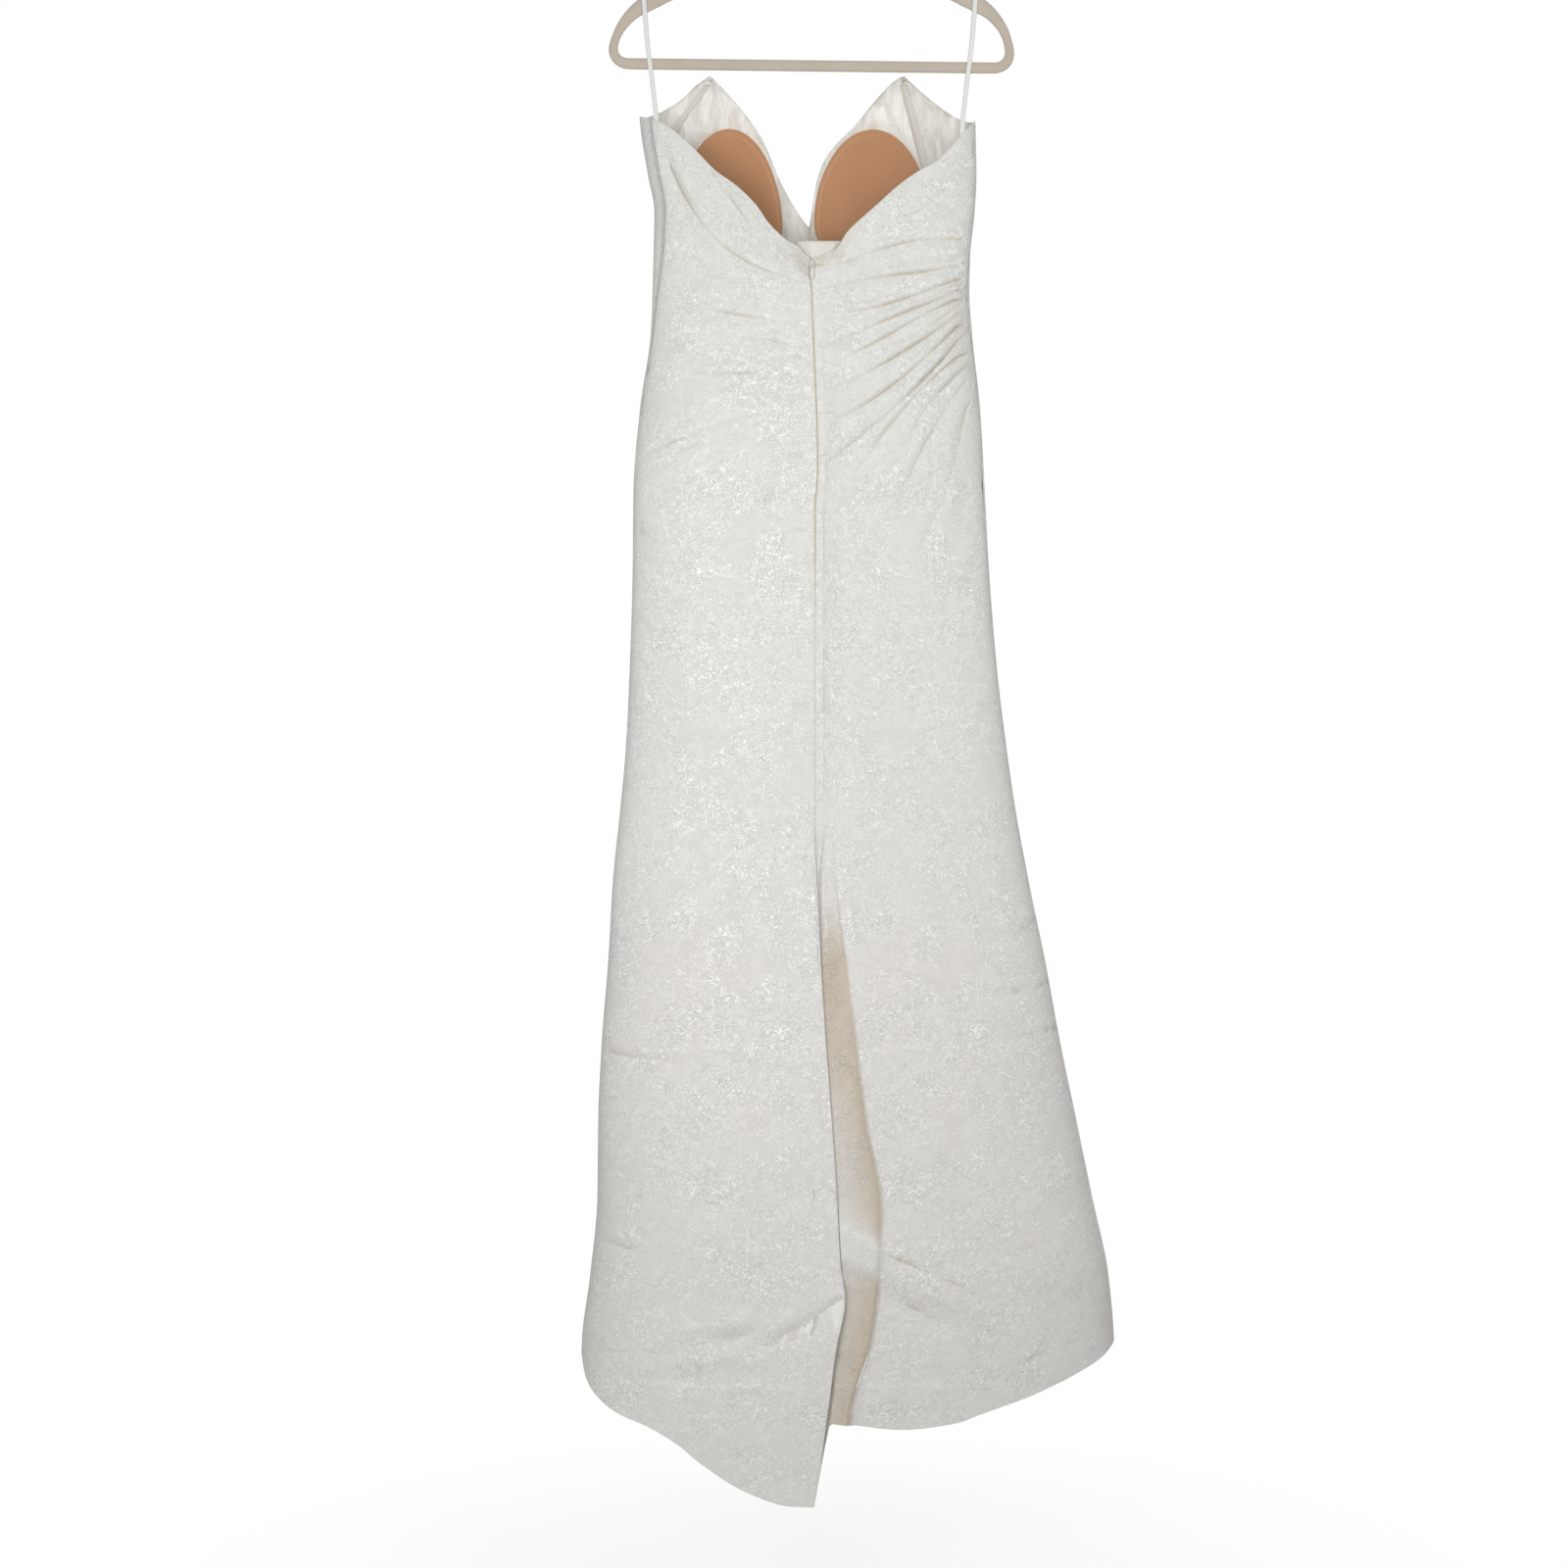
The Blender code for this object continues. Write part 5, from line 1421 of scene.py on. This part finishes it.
# %% Slider and tab
def bevelled(name, source, width):
    """Copy of a plain solid with rounded edges."""
    piece = bpy.data.objects.new(name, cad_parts[source].data.copy())
    bpy.context.scene.collection.objects.link(piece)
    piece.data.materials.clear()
    piece.data.materials.append(ENAMEL)
    bevel = piece.modifiers.new("rounding", "BEVEL")
    bevel.width = width
    bevel.segments = 3
    bevel.limit_method = "ANGLE"
    bevel.angle_limit = math.radians(40)
    shown = piece.evaluated_get(bpy.context.evaluated_depsgraph_get())
    piece.data = bpy.data.meshes.new_from_object(shown)
    piece.modifiers.clear()
    print(name, "has", len(piece.data.polygons), "faces")
    return piece


slider = bevelled("zip_slider_casting", "zip_slider", 0.15 * MM)
tab = bevelled("zip_tab_casting", "zip_tab", 0.14 * MM)
wear(slider, "zip_slider", slot="pale_enamel")
wear(tab, "zip_tab", body="pull_tab", slot="pale_enamel")

# %% [markdown]
# Two narrow satin ribbons, sewn inside the dress below the underarms, go up over the hanger's arms. Each is
# a ring: a strand before the arm and one behind it. Satin this narrow shows a bright line down its middle,
# so its section is slightly crowned, and a fine lengthwise bump draws its gloss out along the threads.

# %% Hanging loops
def white_ribbon():
    look = base_look("white_ribbon", (0.80, 0.81, 0.78), 0.27, Sheen_Weight=0.2, Specular_IOR_Level=0.55)
    place = node(look, "TexCoord").outputs["Object"]
    across = node(look, "Mapping", Vector=place, Scale=(5200, 600, 260)).outputs["Vector"]
    thread = node(look, "TexNoise", Vector=across, Scale=1.0, Detail=1.0)
    tone = mix(look, thread.outputs["Fac"], (0.76, 0.77, 0.745, 1), (0.84, 0.85, 0.825, 1))
    into(look, Base_Color=tone, Normal=bumped(look, thread.outputs["Fac"], 0.00025, 0.6))
    return look


RIBBON = white_ribbon()
LOOP_DROP, LOOP_TOP = 24.0, -128.2
SEWN_HALF_WIDTH = 3.5
SEWN_OFF = 3.4
STRANDS_APART = 2.4
HANGER_THICK = 5.5


def loop_ring(name, side, seam_x, hang_x):
    """Ribbon ring down inside the dress and over the hanger's arm."""
    low = UNDERARM_Z - LOOP_DROP
    outer_edge = seam_x + math.copysign(SEWN_HALF_WIDTH, seam_x)
    wall = float(body_point(turn_at(outer_edge, LOOP_DROP), LOOP_DROP, "back_" + side)[1])
    sewn, behind = wall + SEWN_OFF, HANGER_THICK / 2 + 0.9
    rear, before = sewn + STRANDS_APART, -behind
    route = [
        (sewn, low, 1), (sewn, -270, 0.95), (before, -222, 0.6), (before, -180, 0.25),
        (before, LOOP_TOP - 4, 0), (before + 0.8, LOOP_TOP, 0), (0, LOOP_TOP + 1.6, 0),
        (behind - 0.8, LOOP_TOP, 0), (behind, LOOP_TOP - 4, 0), (behind, -180, 0.25),
        (behind, -222, 0.6), (rear, -270, 0.95), (rear, low, 1), ((sewn + rear) / 2, low - 1.6, 1),
    ]
    line = smooth_line([(hang_x + (seam_x - hang_x) * share, y, z) for y, z, share in route], 8, closed=True)
    ahead = np.roll(line, -1, axis=0) - np.roll(line, 1, axis=0)
    out = np.stack([0 * ahead[:, 0], ahead[:, 2], -ahead[:, 1]], axis=-1)
    out /= np.linalg.norm(out, axis=1, keepdims=True)
    wide = np.array([1.0, 0, 0])
    section = [(-2.6, -0.2), (-2.6, 0.15), (-1.5, 0.38), (0, 0.48), (1.5, 0.38), (2.6, 0.15), (2.6, -0.2),
               (1.5, -0.38), (0, -0.48), (-1.5, -0.38)]
    twist = 0.25 * np.sin(np.arange(len(line)) / 9.0)[:, None]
    rings = [line + wide * across + out * (deep + twist * across / 2.6 * 0.4) for across, deep in section]
    return sweep(name, np.stack(rings, axis=1)[::-1], RIBBON, closed=True), line


for side, seam_x, hang_x in (("left", -170, -185), ("right", 166, 181)):
    loop, line = loop_ring("loop_" + side + "_ribbon", side, seam_x, hang_x)
    wear(loop, "loop_" + side, slot="white_ribbon")

# %% [markdown]
# The hanger is a slim plastic one with a flocked, velvet-like cover, and a bent steel hook. Its outline is
# two smooth rings, an outer and an inner one, joined by a softly rounded section. Its bar slopes down a
# little to the right, as it does in the photograph. The flock is a matte material with strong sheen, as its
# upright fibres glow at grazing angles.

# %% Flocked hanger
HANGER_OUTER = [
    (0, -70), (-20, -71), (-60, -80), (-110, -96), (-150, -111), (-170, -120), (-176, -129),
    (-190, -131.5), (-204, -144), (-215, -160), (-221, -175), (-224, -188), (-222.2, -198.5),
    (-216.5, -206.3), (-207.5, -210.6), (-195, -211.6), (-150, -211.6), (-75, -211.6),
]
HANGER_INNER = [
    (0, -94), (-16, -95), (-54, -103), (-100, -115), (-134, -125), (-156, -134), (-166, -139),
    (-178, -145), (-193, -153), (-205, -165), (-211.2, -176), (-213.6, -186), (-213, -192.3),
    (-210, -196.8), (-205.5, -198.9), (-198, -199.3), (-150, -199.3), (-75, -199.3),
]
BAR_SLOPE = 0.0117


def taupe_velvet():
    look = base_look("taupe_velvet", (0.50, 0.43, 0.35), 0.95, Sheen_Weight=0.6, Sheen_Roughness=0.35,
                     Specular_IOR_Level=0.1)
    look.node_tree.nodes["Principled BSDF"].inputs["Sheen Tint"].default_value = (1.0, 0.96, 0.9, 1)
    place = node(look, "TexCoord").outputs["Object"]
    flock = node(look, "TexNoise", Vector=place, Scale=1600.0, Detail=2.0, Roughness=0.8)
    brushed = node(look, "TexNoise", Vector=place, Scale=45.0, Detail=4.0, Distortion=1.0)
    tone = mix(look, brushed.outputs["Fac"], (0.51, 0.445, 0.365, 1), (0.60, 0.53, 0.45, 1))
    tone = mix(look, ramp(look, flock.outputs["Fac"], [(0.4, 0.0), (0.8, 0.5)]), tone, (0.62, 0.56, 0.48, 1))
    into(look, Base_Color=tone, Normal=bumped(look, flock.outputs["Fac"], 0.0006, 0.7))
    return look


def bright_steel():
    look = base_look("bright_steel", (0.72, 0.72, 0.73), 0.22, Metallic=1.0)
    place = node(look, "TexCoord").outputs["Object"]
    scratch = node(look, "Mapping", Vector=place, Scale=(900, 900, 90)).outputs["Vector"]
    fine = node(look, "TexNoise", Vector=scratch, Scale=1.0, Detail=3.0)
    into(look, Roughness=ramp(look, fine.outputs["Fac"], [(0.2, 0.16), (0.8, 0.34)]))
    into(look, Normal=bumped(look, fine.outputs["Fac"], 0.00005, 0.5))
    return look


VELVET, STEEL = taupe_velvet(), bright_steel()


def mirrored(half):
    """Whole ring of an outline from its left half, which starts and ends in the middle."""
    return half + [(0, half[-1][1])] + [(-x, z) for x, z in half[:0:-1]]


def sloping(ring):
    """Lets the bar hang a little lower on the right."""
    ring[:, 1] -= BAR_SLOPE * ring[:, 0] * np.clip((-165 - ring[:, 1]) / 30, 0, 1)
    return ring


def hanger_ring(name):
    """Rounded section carried between the two outlines."""
    outer = sloping(smooth_line(mirrored(HANGER_OUTER), 8, closed=True))
    inner = sloping(smooth_line(mirrored(HANGER_INNER), 8, closed=True))
    angle = np.linspace(0, 2 * math.pi, 20, endpoint=False)
    share = 0.5 - 0.5 * signed_power(np.cos(angle), 0.7)
    deep = signed_power(np.sin(angle), 0.75) * HANGER_THICK / 2
    x, z = (outer[:, None, k] + (inner[:, None, k] - outer[:, None, k]) * share for k in (0, 1))
    rings = np.stack([x, -deep + 0 * x, z], axis=-1)
    return sweep(name, rings[::-1], VELVET, closed=True)


hanger = wear(hanger_ring("hanger_body_velvet"), "hanger_body", slot="taupe_velvet")
hook_line = [(0, 0, -69.6), (0, 0, -60), (0, 0, -52), (1.2, 0, -46.5), (5.0, 0, -42.6)]
for degrees in range(-60, 196, 15):
    a = math.radians(degrees)
    hook_line.append((21.9 * math.cos(a), 0, -20.0 + 21.9 * math.sin(a)))
hook_path = smooth_line(hook_line, 8)
hook = wire("hanger_hook_wire", hook_path, 1.9, STEEL, sides=20)
wear(hook, "hanger_hook", slot="bright_steel")

# %% [markdown]
# The photograph was taken straight from behind, at half height, with the dress cut out on pure white. The
# camera therefore stands level at the middle of the dress, 3 m away, and a pale floor fades out round the
# hem. Three area lights do the work of a product studio. The strongest stands beside the camera on the left
# and draws out the creases, a weak one fills the bodice from the right, and a large one lights the front,
# which this view doesn't show. The sky is white for the camera but gives only part of its light.

# %% Camera, floor and light
camera_data = bpy.data.cameras.new("product_camera")
camera_data.sensor_width = 36
camera_data.lens = 62.33
camera = bpy.data.objects.new("product_camera", camera_data)
camera.location = (-0.0303, -3.0, -0.999)
camera.rotation_euler = (math.radians(90), 0, 0)
bpy.context.scene.collection.objects.link(camera)
bpy.context.scene.camera = camera
bpy.context.scene.view_settings.view_transform = "Standard"
bpy.context.scene.view_settings.look = "None"


def pale_floor():
    """White floor that fades out away from the dress."""
    look = base_look("pale_floor", (0.93, 0.93, 0.93), 0.9)
    place = node(look, "TexCoord").outputs["Object"]
    away = node(look, "VectorMath", {"operation": "LENGTH"}, i0=place).outputs["Value"]
    into(look, Alpha=ramp(look, away, [(0.1, 0.3), (0.8, 0.0)]))
    bpy.ops.mesh.primitive_circle_add(vertices=96, radius=0.95, fill_type="NGON", location=(0.03, 0, -1.90))
    floor = bpy.context.object
    floor.name = "pale_floor"
    floor.data.materials.append(look)


def soft_light(name, size, power, location, target):
    """Square area light that faces a target."""
    data = bpy.data.lights.new(name, "AREA")
    data.size = size
    data.energy = power
    lamp = bpy.data.objects.new(name, data)
    lamp.location = location
    aim = np.array(target) - np.array(location)
    lamp.rotation_euler = Vector(aim).to_track_quat("-Z", "Y").to_euler()
    bpy.context.scene.collection.objects.link(lamp)


def studio_sky(seen, light):
    """Even white surroundings: one strength for what the camera sees, one for the light they give."""
    world = bpy.data.worlds.new("studio_sky")
    bpy.context.scene.world = world
    world.use_nodes = True
    tree = world.node_tree
    sky = tree.nodes["Background"]
    ray = tree.nodes.new("ShaderNodeLightPath")
    strength = tree.nodes.new("ShaderNodeMapRange")
    strength.inputs["To Min"].default_value = light
    strength.inputs["To Max"].default_value = seen
    tree.links.new(ray.outputs["Is Camera Ray"], strength.inputs["Value"])
    tree.links.new(strength.outputs["Result"], sky.inputs["Strength"])
    sky.inputs["Color"].default_value = (1, 1, 1, 1)


pale_floor()
soft_light("side_softbox", size=0.8, power=18.5, location=(-0.55, -1.9, -0.72), target=(-0.02, 0, -0.82))
soft_light("fill_softbox", size=0.8, power=7.5, location=(1.0, -1.45, -0.2), target=(0, 0, -0.35))
soft_light("front_softbox", size=1.4, power=56, location=(1.1, 2.2, 1.3), target=(0, 0, -0.9))
studio_sky(seen=1.0, light=0.39)
wide_view = camera_data.sensor_width / camera_data.lens * -camera.location.y
print("camera sees", round(wide_view, 3), "m across at the hanger")
